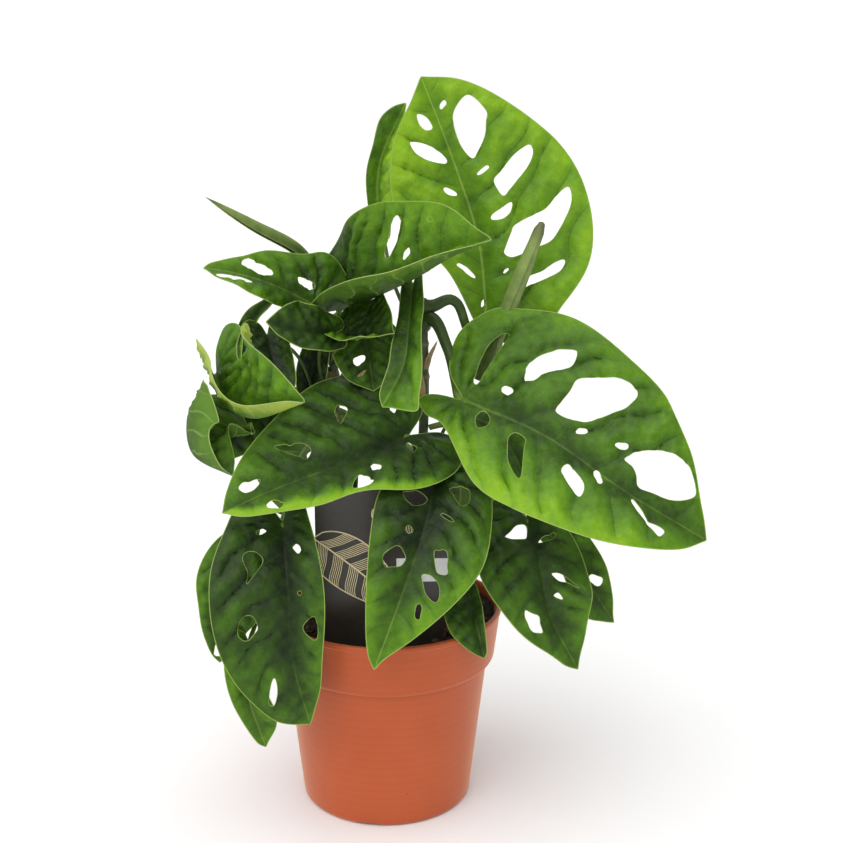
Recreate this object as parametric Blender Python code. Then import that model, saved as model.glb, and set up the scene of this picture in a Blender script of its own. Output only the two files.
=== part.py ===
"""A potted monstera: a nursery pot of soil, climbing stems, holed leaves on petioles,
rolled new leaves and a plant card. Metres, +Z up. The origin is the middle of the
pot's underside, and the side that faces the viewer is -Y."""
import math

import bmesh
import bpy
import numpy as np
from mathutils.geometry import delaunay_2d_cdt

MM = 0.001
GAP = 0.3                   # clearance kept between neighbouring pieces, mm

# Pot, mm
POT_HEIGHT = 105.0
POT_TOP_RADIUS = 60.0
BAND_TAPER = 3.5            # the rim band is this much narrower at its lower edge
LEDGE_WIDTH = 3.5           # step in from the band to the wall below it
POT_BAND_RADIUS = POT_TOP_RADIUS - BAND_TAPER
POT_NECK_RADIUS = POT_BAND_RADIUS - LEDGE_WIDTH
POT_BASE_RADIUS = 44.2
POT_BAND_HEIGHT = 27.0
POT_BASE_ROUND = 4.0
POT_WALL = 1.6
POT_FLOOR = 2.4
FOOT_NOTCHES = 4            # shallow notches across the edge that the pot stands on
FOOT_NOTCH_WIDTH = 12.0
FOOT_NOTCH_DEPTH = 1.4
FOOT_NOTCH_INNER = 32.0
FOOT_NOTCH_ANGLE = 258.0
DRAIN_COUNT = 8
DRAIN_RADIUS = 3.5
DRAIN_CIRCLE = 24.0
POT_SIDES = 48

# Soil and card, mm
SOIL_BELOW_RIM = 15.0
SOIL_TOP = POT_HEIGHT - SOIL_BELOW_RIM
PLANTED_AT = 90.0           # soil top that the heights of the plant and the card are given for
LIFT = SOIL_TOP - PLANTED_AT
PLANTED_IN = 60.0           # pot radius that the places of the leaves are given for
SPREAD = POT_TOP_RADIUS - PLANTED_IN
HANGS_OUT = 20.0            # a blade that starts this far forward or back and
HANGS_TO = 135.0            # comes down to this height hangs outside the rim
SOIL_SIDES = 40
CARD_WIDTH = 68.0
CARD_HEIGHT = 116.0
CARD_THICK = 0.6
CARD_CORNER = 4.0
CARD_FOOT = (-1.0, -27.0, 62.0)
CARD_LEAN = 3.0             # degrees, the top leans towards the viewer
CARD_EDGE = 34.0            # half width that the place of the blade beside the card is given for

# Leaves and petioles, mm
LEAF_THICK = 0.6
PETIOLE_RADIUS = 1.6
PETIOLE_SIDES = 6
STEM_SIDES = 8
STATIONS = (0.2, 0.4, 0.6, 0.8, 0.93)

# Each blade: the midrib from the petiole to the tip, the way its upper side looks,
# and for its left and right half: lobe depth behind the petiole, then the width at
# the petiole and at the STATIONS along it. fold tilts a half up from the midrib and
# curl bends it on (degrees). A hole runs from (across, along) to (across, along)
# with a width. "stem" names what the petiole grows from and at what height.
LEAVES = [
    dict(name="leaf_top", spine=[(51, 8, 252), (47, 20, 292), (34, 30, 332), (18, 34, 372)],
         face=(-0.05, -1, 0.25), left=(2, 9, 21, 34, 36, 26, 9), right=(15, 35, 54, 59, 52, 33, 17),
         fold=(8, 8), curl=(10, 0), stem=("stem_centre", 262), neck=[(33, -1, 265), (43, 2, 248)], edge=True,
         holes=[(9, 82, 19, 110, 17), (-5, 103, -10, 112, 5), (-3, 84, -17, 100, 7), (18, 59, 39, 78, 9),
                (9, 73, 16, 75, 2), (-4, 67, -10, 72, 3), (9, 50, 21, 55, 4), (13, 33, 50, 52, 15),
                (18, 15, 40, 26, 7), (-4, 23, -13, 31, 3), (3, 110, 7, 113, 2.5)]),
    dict(name="leaf_front_right", spine=[(37, -30, 222), (75, -50, 209), (111, -68, 187), (149, -75, 165)],
         face=(0.1, -0.85, 0.5), left=(18, 54, 60, 55, 49, 33, 12), right=(19, 18, 38, 40, 33, 21, 11),
         fold=(8, 8), curl=(-10, -10), stem=("stem_centre", 256), neck=(30, -12, 244),
         holes=[(-12, 1, -41, 3, 7), (-10, 16, -14, 20, 4), (-20, 24, -42, 37, 9), (-12, 44, -42, 67, 17),
                (-9, 56, -13, 60, 3), (-15, 73, -18, 79, 3), (-13, 83, -15, 118, 18), (3, 12, 10, 18, 6),
                (7, 33, 26, 45, 9), (8, 62, 17, 76, 9), (2, 74, 6, 80, 3), (3, 95, 9, 114, 4)]),
    dict(name="leaf_front_left", spine=[(12, -20, 202), (-22, -45, 194), (-52, -62, 187), (-75, -75, 180)],
         face=(0, -0.72, 0.69), left=(20, 31, 24, 18, 14, 9, 6), right=(16, 42, 46, 42, 34, 21, 9),
         fold=(0, 0), curl=(0, 0), stem=("stem_centre", 182), neck=(14, -10, 195),
         holes=[(32, 22, 22, 27, 7), (13, 52, 22, 68, 9), (8, 82, 7, 92, 6), (-9, 78, -7, 86, 4),
                (-14, 34, -15, 46, 6), (-7, 29, -12, 28, 4), (-4, 4, -10, 5, 4), (18, -1, 14, 0, 2.5)]),
    dict(name="leaf_front_centre", spine=[(25, -32, 183), (17, -55, 161), (6, -70, 133), (-6, -78, 102)],
         face=(0, -0.95, 0.3), left=(9, 27, 31, 32, 24, 12, 3), right=(8, 20, 26, 24, 19, 12, 6),
         fold=(10, 10), curl=(0, 0), stem=("stem_centre", 160), neck=(27, -17, 179),
         holes=[(15, 13, 5, 9, 6), (9, 30, 6, 28, 3), (15, 44, 5, 42, 9), (-8, 35, -16, 44, 7),
                (-6, 49, -12, 57, 7), (-8, 62, -11, 66, 3), (-7, 16, -13, 18, 3), (-7, 1, -13, 10, 4)]),
    dict(name="leaf_hanging_left", spine=[(-50, -45, 166), (-47, -62, 137), (-45, -66, 102), (-37, -64, 67)],
         face=(0, -0.97, 0.2), left=(11, 10, 15, 17, 16, 11, 4), right=(8, 26, 35, 37, 33, 23, 14),
         fold=(10, 10), curl=(0, 0), stem=("stem_left", 130), neck=(-42, -28, 176),
         holes=[(14, 5, 9, 5, 3), (12, 17, 20, 28, 8), (-3, 14, -6, 18, 3), (15, 51, 23, 56, 5),
                (15, 86, 11, 75, 4), (-8, 45, -11, 57, 4), (-5, 36, -7, 36, 2)]),
    dict(name="leaf_hanging_right", spine=[(70, -20, 159), (75, -38, 142), (80, -52, 118), (94, -55, 91)],
         face=(0.1, -0.95, 0.3), left=(10, 17, 22, 24, 22, 13, 4), right=(10, 21, 28, 28, 18, 9, 5),
         fold=(10, 10), curl=(0, 0), stem=("stem_right", 140), neck=(58, -8, 172),
         holes=[(13, 13, 3, 8, 6), (-5, 15, -13, 13, 4), (-8, 34, -18, 46, 3), (-6, 46, -9, 49, 3),
                (10, 49, 8, 58, 7)]),
    dict(name="leaf_right_behind", spine=[(79, -5, 149), (91, -12, 138), (105, -18, 119), (117, -20, 101)],
         face=(0.2, -0.9, 0.4), left=(8, 13, 14, 14, 12, 7, 2), right=(8, 14, 20, 21, 18, 12, 5),
         fold=(10, 10), curl=(0, 0), stem=("stem_right", 118), neck=(62, 6, 150),
         holes=[(-3, 36, -5, 43, 5)]),
    dict(name="leaf_small_rim", spine=[(41, -26, 122), (44, -43, 112), (48, -52, 96)],
         face=(0, -0.9, 0.4), left=(4, 7, 6, 5, 6, 4, 3), right=(4, 5, 7, 9, 8, 5, 3),
         fold=(10, 10), curl=(0, 0), stem=("stem_right", 102), neck=(32, -12, 118), holes=[],
         beside_card=True),
    dict(name="leaf_centre_upper", spine=[(-26, 18, 258), (-9, 1, 262), (14, -15, 278), (31, -30, 293), (48, -42, 301)],
         face=(0, -0.5, 0.86), left=(4, 23, 40, 42, 37, 24, 8), right=(1, 10, 26, 32, 28, 20, 12),
         fold=(50, 15), curl=(10, 60), stem=("stem_left", 238), neck=(-28, 22, 250),
         holes=[(-17, 46, -28, 59, 7), (-19, 76, -20, 78, 3), (-12, 52, -12, 57, 4)]),
    dict(name="leaf_left_upper", spine=[(-36, -4, 264), (-53, -11, 274), (-69, -24, 282), (-84, -38, 287)],
         face=(0, -0.8, 0.6), left=(12, 8, 9, 11, 11, 9, 5), right=(18, 30, 23, 18, 11, 6, 3),
         fold=(5, -5), curl=(5, 5), stem=("stem_left", 230), neck=(-46, 3, 254),
         holes=[(6, 23, 7, 40, 6), (9, 1, 8, 11, 5), (-3, 36, -4, 59, 3)]),
    dict(name="leaf_left_mid", spine=[(-84, -12, 231), (-77, -34, 222), (-61, -54, 220), (-37, -74, 232)],
         face=(0.1, -0.5, 0.86), left=(20, 22, 28, 32, 34, 30, 12), right=(8, 16, 24, 28, 26, 20, 8),
         fold=(50, 5), curl=(25, 75), stem=("stem_left", 194), neck=(-70, 2, 224), holes=[]),
    dict(name="leaf_left_low", spine=[(-91, -18, 219), (-94, -34, 212), (-90, -46, 199), (-72, -50, 190)],
         face=(0.8, -0.35, 0.5), left=(8, 16, 18, 14, 11, 10, 8), right=(4, 8, 12, 18, 20, 14, 5),
         fold=(30, 30), curl=(20, 70), stem=("stem_left", 184), neck=(-78, -6, 212), holes=[]),
    dict(name="leaf_left_back", spine=[(-69, -2, 239), (-65, -6, 256), (-54, -4, 268)],
         face=(-0.4, -0.9, 0.2), left=(5, 8, 7, 6, 5, 3, 2), right=(5, 9, 9, 5, 3, 3, 2),
         fold=(20, 20), curl=(0, 0), stem=("stem_left", 212), neck=(-58, 6, 232), holes=[]),
    dict(name="leaf_behind_left", spine=[(-74, -26, 163), (-86, -37, 144), (-89, -42, 118), (-84, -42, 91)],
         face=(-0.3, -0.95, 0.2), left=(10, 18, 25, 27, 23, 15, 6), right=(9, 10, 12, 12, 10, 7, 3),
         fold=(10, 10), curl=(0, 0), stem=("stem_left", 112), neck=(-60, -14, 160),
         holes=[(-3, 55, 1, 64, 4)]),
    dict(name="leaf_low_left", spine=[(-67, -52, 106), (-68, -57, 82), (-60, -52, 49)],
         face=(0, -0.95, 0.2), left=(5, 9, 16, 20, 16, 9, 3), right=(6, 12, 11, 8, 6, 5, 3),
         fold=(10, 10), curl=(0, 0), stem=("stem_left", 100), neck=(-58, -34, 118), holes=[]),
    dict(name="leaf_behind_top", spine=[(-4, 44, 295), (-3, 42, 328), (10, 34, 359)],
         face=(-0.3, -0.9, 0.3), left=(3, 4, 5, 6, 6, 8, 5), right=(5, 8, 8, 8, 7, 5, 3),
         fold=(20, 30), curl=(20, 20), stem=("stem_centre", 244), neck=(4, 26, 270), holes=[]),
    dict(name="leaf_centre_dark", spine=[(-20, -2, 250), (-12, -13, 248), (3, -28, 252)],
         face=(0, -0.5, 0.85), left=(4, 8, 12, 14, 13, 8, 2), right=(5, 9, 11, 11, 10, 9, 2),
         fold=(20, 20), curl=(10, 10), stem=("stem_left", 234), neck=(-25, -2, 240), holes=[]),
    dict(name="leaf_centre_olive", spine=[(-12, 9, 249), (-9, 2, 239), (-6, -6, 220)],
         face=(0, -0.9, 0.3), left=(5, 10, 12, 12, 10, 7, 3), right=(5, 10, 12, 12, 10, 7, 3),
         fold=(10, 10), curl=(0, 0), stem=("stem_left", 224), neck=(-14, 14, 242),
         holes=[(2, 15, 8, 19, 4)]),
    dict(name="leaf_centre_hanging", spine=[(13, -8, 275), (11, -22, 259), (8, -38, 240), (-2, -46, 222)],
         face=(-0.5, -0.85, 0.1), left=(8, 16, 16, 10, 10, 15, 18), right=(8, 10, 6, 7, 7, 6, 4),
         fold=(10, 10), curl=(0, 0), stem=("stem_centre", 256), neck=(15, 3, 270), holes=[]),
    dict(name="leaf_left_wavy", spine=[(-32, -8, 249), (-46, -20, 249), (-59, -28, 249)],
         face=(0, -0.85, 0.5), left=(4, 8, 11, 12, 10, 6, 3), right=(6, 11, 12, 18, 19, 14, 4),
         fold=(10, 10), curl=(0, 0), stem=("stem_left", 218), neck=(-33, -2, 238), holes=[]),
    dict(name="leaf_left_olive", spine=[(-53, -12, 250), (-48, -24, 238), (-41, -36, 222)],
         face=(0.3, -0.9, 0.3), left=(5, 5, 5, 6, 5, 5, 3), right=(6, 11, 14, 16, 14, 9, 3),
         fold=(10, 10), curl=(0, 0), stem=("stem_left", 204), neck=(-46, -3, 240), holes=[]),
    dict(name="leaf_back_left", spine=[(-18, 26, 196), (-36, 50, 186), (-52, 70, 160), (-60, 80, 130)],
         face=(-0.3, 0.8, 0.5), left=(14, 28, 36, 37, 30, 18, 8), right=(14, 28, 36, 37, 30, 18, 8),
         fold=(10, 10), curl=(0, 0), stem=("stem_left", 150), neck=(-16, 16, 184),
         holes=[(8, 18, 24, 26, 7), (9, 38, 25, 50, 8), (-8, 20, -22, 30, 7), (-9, 42, -24, 54, 8),
                (7, 60, 15, 70, 5), (-7, 64, -14, 72, 4)]),
    dict(name="leaf_back_right", spine=[(24, 22, 178), (36, 46, 172), (42, 66, 148), (40, 78, 116)],
         face=(0.2, 0.85, 0.45), left=(12, 24, 32, 32, 26, 16, 7), right=(12, 24, 32, 32, 26, 16, 7),
         fold=(12, 12), curl=(0, 0), stem=("stem_right", 146), neck=(26, 14, 168),
         holes=[(7, 16, 20, 24, 6), (8, 34, 22, 46, 8), (-7, 18, -19, 26, 6), (-8, 38, -20, 50, 8),
                (6, 56, 12, 64, 4)]),
    dict(name="leaf_back_low", spine=[(-6, 30, 140), (-12, 50, 134), (-16, 66, 112), (-16, 74, 84)],
         face=(0, 0.9, 0.35), left=(10, 20, 25, 25, 20, 12, 5), right=(10, 20, 25, 25, 20, 12, 5),
         fold=(10, 10), curl=(0, 0), stem=("stem_left", 112), neck=(-8, 20, 132),
         holes=[(6, 16, 16, 22, 5), (-6, 28, -17, 38, 6)]),
]

# Stems: radius, and their line from the soil up
STEMS = {
    "stem_centre": (2.8, [(12, -2, 72), (12, -2, 84), (12, -2, 96), (15, -1, 140), (19, 0, 200), (19, 0, 240), (18, -3, 266)]),
    "stem_left": (2.8, [(-14, 6, 72), (-14, 6, 84), (-14, 6, 96), (-20, 8, 140), (-26, 6, 190), (-26, 6, 225), (-29, 10, 244)]),
    "stem_right": (2.4, [(24, 4, 72), (24, 4, 84), (24, 4, 96), (30, 4, 120), (36, 2, 150)]),
}
# Rolled new leaves: largest radius, and their line
SPEARS = {
    "new_leaf_right": (3.6, [(42, -4, 225), (50, -3, 243), (60, -1, 263), (71, 0, 284), (78, 2, 302)]),
    "new_leaf_left": (2.8, [(-34, 34, 272), (-45, 26, 287), (-65, 14, 300), (-87, 2, 315)]),
}


def unit(v):
    v = np.asarray(v, float)
    return v / np.maximum(np.linalg.norm(v, axis=-1, keepdims=True), 1e-12)


def placed(points, spec=None):
    """Points of the plant or the card, moved with the soil, and a blade's also with the rim and the card."""
    shift = np.array([0, 0, LIFT])
    if spec:
        start = spec["spine"][0][1]
        if abs(start) >= HANGS_OUT and spec["spine"][-1][2] <= HANGS_TO:
            shift[1] = math.copysign(SPREAD, start)
        if spec.get("beside_card"):
            shift[0] = CARD_WIDTH / 2 - CARD_EDGE
    return np.asarray(points, float) + shift


def smooth_line(points, per):
    """A curve through the points, with `per` steps from each to the next."""
    p = np.asarray(points, float)
    p = np.vstack([2 * p[0] - p[1], p, 2 * p[-1] - p[-2]])
    out = []
    for i in range(1, len(p) - 2):
        a, b, c, d = p[i - 1], p[i], p[i + 1], p[i + 2]
        for k in range(per):
            t = k / per
            out.append(0.5 * (2 * b + (c - a) * t + (2 * a - 5 * b + 4 * c - d) * t ** 2
                              + (3 * b - a - 3 * c + d) * t ** 3))
    out.append(p[-2])
    return np.array(out)


def flowing_line(points, per):
    """As smooth_line, for points at uneven distances: it never swings out near a short step."""
    p = np.asarray(points, float)
    steps = np.diff(p, axis=0)
    ways = unit(steps)
    turn = np.vstack([ways[:1], unit(ways[:-1] + ways[1:]), ways[-1:]])
    out = []
    for i, step in enumerate(np.linalg.norm(steps, axis=1)):
        for k in range(per):
            t = k / per
            out.append((2 * t ** 3 - 3 * t ** 2 + 1) * p[i] + (3 * t ** 2 - 2 * t ** 3) * p[i + 1]
                       + step * ((t ** 3 - 2 * t ** 2 + t) * turn[i] + (t ** 3 - t ** 2) * turn[i + 1]))
    out.append(p[-1])
    return np.array(out)


def half_outline(w, length, per):
    """One half of a blade from the petiole round its lobe to the tip."""
    lobe, w0 = w[0], w[1]
    start = [(0, 0), (0.20 * w0, -0.72 * lobe), (0.55 * w0, -lobe), (0.87 * w0, -0.6 * lobe), (w0, 0)]
    return smooth_line(start + [(x, f * length) for x, f in zip(w[2:], STATIONS)] + [(0, length)], per)


class Blade:
    def __init__(self, spec):
        self.spec = spec
        self.line = smooth_line(placed(spec["spine"], spec), 10)
        steps = np.linalg.norm(np.diff(self.line, axis=0), axis=1)
        self.along = np.concatenate([[0], np.cumsum(steps)])
        self.length = self.along[-1]
        self.face = unit(spec["face"])

    def on_line(self, y):
        return np.stack([np.interp(y, self.along, self.line[:, k]) for k in range(3)], -1)

    def frame(self, y):
        """Point, direction, upper-side normal and right-hand direction at y."""
        y = np.asarray(y, float)
        inside = np.clip(y, 0, self.length)
        step = 0.04 * self.length
        tangent = unit(self.on_line(np.clip(inside + step, 0, self.length))
                       - self.on_line(np.clip(inside - step, 0, self.length)))
        point = self.on_line(inside) + tangent * (y - inside)[..., None]
        normal = unit(self.face - tangent * (tangent @ self.face)[..., None])
        return point, tangent, normal, np.cross(tangent, normal)

    def at(self, x, y):
        """The place of (across, along), folded and curled about the midrib."""
        x = np.asarray(x, float)
        point, tangent, normal, right = self.frame(y)
        side = np.where(x < 0, -1.0, 1.0)
        d = np.abs(x)
        fold = np.radians(np.where(x < 0, *self.spec["fold"]))
        k = np.radians(np.where(x < 0, *self.spec["curl"])) / (0.36 * self.length)
        k = np.where(np.abs(k) < 1e-6, 1e-6, k)
        out = (np.sin(fold + k * d) - np.sin(fold)) / k
        up = (np.cos(fold) - np.cos(fold + k * d)) / k
        return point + right * (side * out)[..., None] + normal * up[..., None]


def hole_outline(hole, sides):
    x1, y1, x2, y2, width = hole
    mid = np.array([x1 + x2, y1 + y2]) / 2
    axis = np.array([x2 - x1, y2 - y1]) / 2
    cross = unit(np.array([-axis[1], axis[0]])) * width / 2
    t = np.arange(sides) * 2 * math.pi / sides
    return mid + np.cos(t)[:, None] * axis + np.sin(t)[:, None] * cross


def inside_loop(p, loop):
    x, y = p
    a, b = loop, np.roll(loop, -1, axis=0)
    cross = (a[:, 1] > y) != (b[:, 1] > y)
    with np.errstate(divide="ignore", invalid="ignore"):
        xs = a[:, 0] + (y - a[:, 1]) * (b[:, 0] - a[:, 0]) / (b[:, 1] - a[:, 1])
    return np.count_nonzero(cross & (x < xs)) % 2 == 1


def material(name, color, roughness):
    mat = bpy.data.materials.get(name) or bpy.data.materials.new(name)
    mat.use_nodes = True
    shader = mat.node_tree.nodes["Principled BSDF"]
    shader.inputs["Base Color"].default_value = (*color, 1)
    shader.inputs["Roughness"].default_value = roughness
    shader.inputs["Metallic"].default_value = 0
    return mat


def add_object(name, verts, faces, mat, smooth=40):
    """Makes an object of points in mm; its faces are turned outwards."""
    mesh = bpy.data.meshes.new(name)
    mesh.from_pydata([tuple(float(c) * MM for c in v) for v in verts], [], faces)
    bm = bmesh.new()
    bm.from_mesh(mesh)
    bmesh.ops.recalc_face_normals(bm, faces=bm.faces)
    if bm.calc_volume(signed=True) < 0:
        bmesh.ops.reverse_faces(bm, faces=bm.faces)
    bm.to_mesh(mesh)
    bm.free()
    mesh.materials.append(mat)
    mesh.shade_smooth()
    mesh.set_sharp_from_angle(angle=math.radians(smooth))
    obj = bpy.data.objects.new(name, mesh)
    bpy.context.scene.collection.objects.link(obj)
    return obj


def build_blade(blade, per, mat):
    """Cuts the flat outline with its holes into triangles, shapes it and gives it thickness."""
    spec, length = blade.spec, blade.length
    right = half_outline(spec["right"], length, per)
    left = half_outline(spec["left"], length, per) * [-1, 1]
    rim = np.vstack([right, left[::-1][1:-1]])
    holes = [hole_outline(h, 8 if h[4] >= 6 else 6) for h in spec["holes"] if h[4] >= 3]
    loops = [rim] + holes
    points, edges = [], []
    for loop in loops:
        start = len(points)
        points += [tuple(p) for p in loop]
        edges += [(start + i, start + (i + 1) % len(loop)) for i in range(len(loop))]
    step = length / 8
    for j in range(1, 8):
        for i in range(-8, 9):
            p = np.array([i * step + (0.5 * step if j % 2 else 0), j * step])
            if j % 2 == 0 and i == 0:
                p[0] = 0
            near = min(np.linalg.norm(loop - p, axis=1).min() for loop in loops)
            if near > 0.5 * step and inside_loop(p, rim) and not any(inside_loop(p, h) for h in holes):
                points.append(tuple(p))
    verts, _, faces, _, _, _ = delaunay_2d_cdt(points, edges, [], 0, 1e-5)
    flat = np.array([tuple(v) for v in verts])
    keep = []
    for f in faces:
        c = flat[list(f)].mean(axis=0)
        if inside_loop(c, rim) and not any(inside_loop(c, h) for h in holes):
            keep.append(list(f))
    used = sorted({i for f in keep for i in f})
    index = {v: k for k, v in enumerate(used)}
    keep = [[index[i] for i in f] for f in keep]
    flat = flat[used]
    space = blade.at(flat[:, 0], flat[:, 1])
    normals = np.zeros_like(space)
    for f in keep:
        n = np.cross(space[f[1]] - space[f[0]], space[f[2]] - space[f[0]])
        normals[f] += n
    normals = unit(normals)
    count = len(space)
    verts = np.vstack([space + normals * LEAF_THICK / 2, space - normals * LEAF_THICK / 2])
    out = [tuple(f) for f in keep] + [tuple(i + count for i in reversed(f)) for f in keep]
    seen = {}
    for f in keep:
        for a, b in zip(f, f[1:] + f[:1]):
            seen[(a, b)] = True
    for a, b in seen:
        if (b, a) not in seen:
            out.append((b, a, a + count, b + count))
    return add_object(spec["name"], verts, out, mat, 60)


def tube(name, line, radii, sides, mat, first=None, last=None):
    """A tube along a line; `first` and `last` may set the direction its end caps look."""
    line = np.asarray(line, float)
    tangent = np.gradient(line, axis=0)
    tangent = unit(tangent)
    if first is not None:
        tangent[0] = unit(first)
    if last is not None:
        tangent[-1] = unit(last)
    side = unit(np.cross(tangent[0], [0.31, 0.52, 0.17]))
    verts, faces = [], []
    for i, (p, t) in enumerate(zip(line, tangent)):
        side = unit(side - t * (side @ t))
        other = np.cross(t, side)
        for k in range(sides):
            a = 2 * math.pi * k / sides
            verts.append(p + radii[i] * (math.cos(a) * side + math.sin(a) * other))
    for i in range(len(line) - 1):
        for k in range(sides):
            n = (k + 1) % sides
            faces.append((i * sides + k, i * sides + n, (i + 1) * sides + n, (i + 1) * sides + k))
    faces.append(tuple(reversed(range(sides))))
    faces.append(tuple((len(line) - 1) * sides + k for k in range(sides)))
    return add_object(name, verts, faces, mat)


def stem_at(name, height):
    line = smooth_line(placed(STEMS[name][1]), 8)
    height = height + LIFT
    return np.array([np.interp(height, line[:, 2], line[:, k]) for k in range(2)] + [height])


def petiole_line(blade, per):
    """From just off the stem, through the neck point, to just under the blade."""
    spec = blade.spec
    necks = np.atleast_2d(placed(spec["neck"], spec))
    root = stem_at(*spec["stem"])
    aim = unit((necks[0] - root) * [1, 1, 0])
    start = root + aim * (STEMS[spec["stem"][0]][0] + GAP)
    _, tangent, normal, right = blade.frame(np.array(2.5))
    if spec.get("edge"):
        end = blade.at(np.array(0.0), np.array(0.0)) - tangent * 2.6 - right * 1.2
        points = [start, start + aim * 3, *necks, end]
        return flowing_line(points, per), aim, None
    end = blade.at(np.array(0.0), np.array(2.5)) - normal * (LEAF_THICK / 2 + GAP)
    before = end - normal * (PETIOLE_RADIUS + 1.9) - tangent * 2.5
    points = [start, start + aim * 3 + np.array([0, 0, 0.6]), *necks, before, end]
    return flowing_line(points, per), aim, normal


def build_petiole(blade, mat):
    line, first, last = petiole_line(blade, 3)
    radii = np.full(len(line), PETIOLE_RADIUS)
    radii[0] = 1.3
    radii[-1] = 0.8
    radii[-2] = 1.2
    return tube(blade.spec["name"].replace("leaf_", "petiole_"), line, radii, PETIOLE_SIDES, mat, first, last)


def solid_of_revolution(profile, sides):
    """Turns a (radius, height) outline about the Z axis; it starts and ends on the axis."""
    verts = [(0, 0, profile[0][1]), (0, 0, profile[-1][1])]
    ring = profile[1:-1]
    n = len(ring)
    faces = []
    for k in range(sides):
        a = 2 * math.pi * k / sides
        verts += [(r * math.cos(a), r * math.sin(a), z) for r, z in ring]
    for k in range(sides):
        a, b = 2 + k * n, 2 + (k + 1) % sides * n
        faces.append((0, b, a))
        faces.append((1, a + n - 1, b + n - 1))
        for i in range(n - 1):
            faces.append((a + i, b + i, b + i + 1, a + i + 1))
    return verts, faces


def outer_radius(z):
    """Outside of the pot's wall below the rim band."""
    t = z / (POT_HEIGHT - POT_BAND_HEIGHT)
    return POT_BASE_RADIUS + (POT_NECK_RADIUS - POT_BASE_RADIUS) * t


def inner_radius(z):
    return outer_radius(z) - POT_WALL


def cutter(name, verts, faces):
    obj = add_object(name, verts, faces, material("cutter", (0.5, 0.5, 0.5), 0.5))
    obj.hide_render = True
    obj.display_type = "WIRE"
    return obj


def cut(target, tool):
    mod = target.modifiers.new(tool.name, "BOOLEAN")
    mod.operation = "DIFFERENCE"
    mod.object = tool


def cylinder(centre, radius, z0, z1, sides):
    rows = [(0, z0), (radius, z0), (radius, z1), (0, z1)]
    verts, faces = solid_of_revolution(rows, sides)
    return [(x + centre[0], y + centre[1], z) for x, y, z in verts], faces


def build_pot():
    ledge = POT_HEIGHT - POT_BAND_HEIGHT
    rnd = POT_BASE_ROUND
    outside = []
    for k in range(4):
        a = math.radians(30 * k)
        outside.append((POT_BASE_RADIUS - rnd * (1 - math.sin(a)), rnd * (1 - math.cos(a))))
    outside += [(POT_NECK_RADIUS, ledge - 1.5), (POT_BAND_RADIUS - 0.8, ledge), (POT_BAND_RADIUS, ledge + 1.0),
                (POT_TOP_RADIUS - 0.5, POT_HEIGHT - 2.5), (POT_TOP_RADIUS, POT_HEIGHT - 1.2),
                (POT_TOP_RADIUS - 0.6, POT_HEIGHT)]
    inside = [(POT_TOP_RADIUS - 2.4, POT_HEIGHT), (POT_TOP_RADIUS - 2.9, POT_HEIGHT - 1.2),
              (POT_BAND_RADIUS - 1.6, ledge + 1.5), (inner_radius(ledge - 3), ledge - 3),
              (inner_radius(POT_FLOOR + 3), POT_FLOOR + 3), (inner_radius(3) - 3, POT_FLOOR)]
    profile = [(0, POT_FLOOR)] + inside[::-1] + outside[::-1] + [(0, 0)]
    verts, faces = solid_of_revolution(profile, POT_SIDES)
    pot = add_object("pot", verts, faces, material("pot_plastic", (0.52, 0.12, 0.04), 0.42), 35)
    for k in range(DRAIN_COUNT):
        a = 2 * math.pi * (k + 0.56) / DRAIN_COUNT
        spot = (DRAIN_CIRCLE * math.cos(a), DRAIN_CIRCLE * math.sin(a))
        cut(pot, cutter("cut_drain_%d" % k, *cylinder(spot, DRAIN_RADIUS, -5, 12, 12)))
    w = FOOT_NOTCH_WIDTH / 2
    near, far = FOOT_NOTCH_INNER, POT_BASE_RADIUS + 6
    for k in range(FOOT_NOTCHES):
        a = math.radians(FOOT_NOTCH_ANGLE) + 2 * math.pi * k / FOOT_NOTCHES
        out = np.array([math.cos(a), math.sin(a)])
        across = np.array([-out[1], out[0]])
        box = []
        for z in (-1.0, FOOT_NOTCH_DEPTH):
            for r, side in ((near, -w), (far, -w), (far, w), (near, w)):
                box.append((*(out * r + across * side), z))
        sides = [(3, 2, 1, 0), (4, 5, 6, 7), (0, 1, 5, 4), (1, 2, 6, 5), (2, 3, 7, 6), (3, 0, 4, 7)]
        cut(pot, cutter("cut_foot_%d" % k, box, sides))
    return pot


def card_outline(grow, height):
    """The card's outline with rounded corners, from its foot up."""
    w, h, r = CARD_WIDTH / 2 + grow, height + grow, CARD_CORNER
    corners = [(w - r, r - grow), (w - r, h - r), (r - w, h - r), (r - w, r - grow)]
    pts = []
    for i, (x, z) in enumerate(corners):
        for k in range(4):
            a = math.radians(-90 + 90 * i + 30 * k)
            pts.append((x + r * math.cos(a), z + r * math.sin(a)))
    return pts


def card_cut():
    """How much shorter the card is at its foot, so that both corners clear the pot's wall."""
    x, y, z = CARD_FOOT
    corner = math.hypot(abs(x) + CARD_WIDTH / 2, abs(y) + CARD_THICK) + POT_WALL + 2 * GAP
    share = (corner - POT_BASE_RADIUS) / (POT_NECK_RADIUS - POT_BASE_RADIUS)
    return max(0, share * (POT_HEIGHT - POT_BAND_HEIGHT) - z - LIFT)


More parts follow.
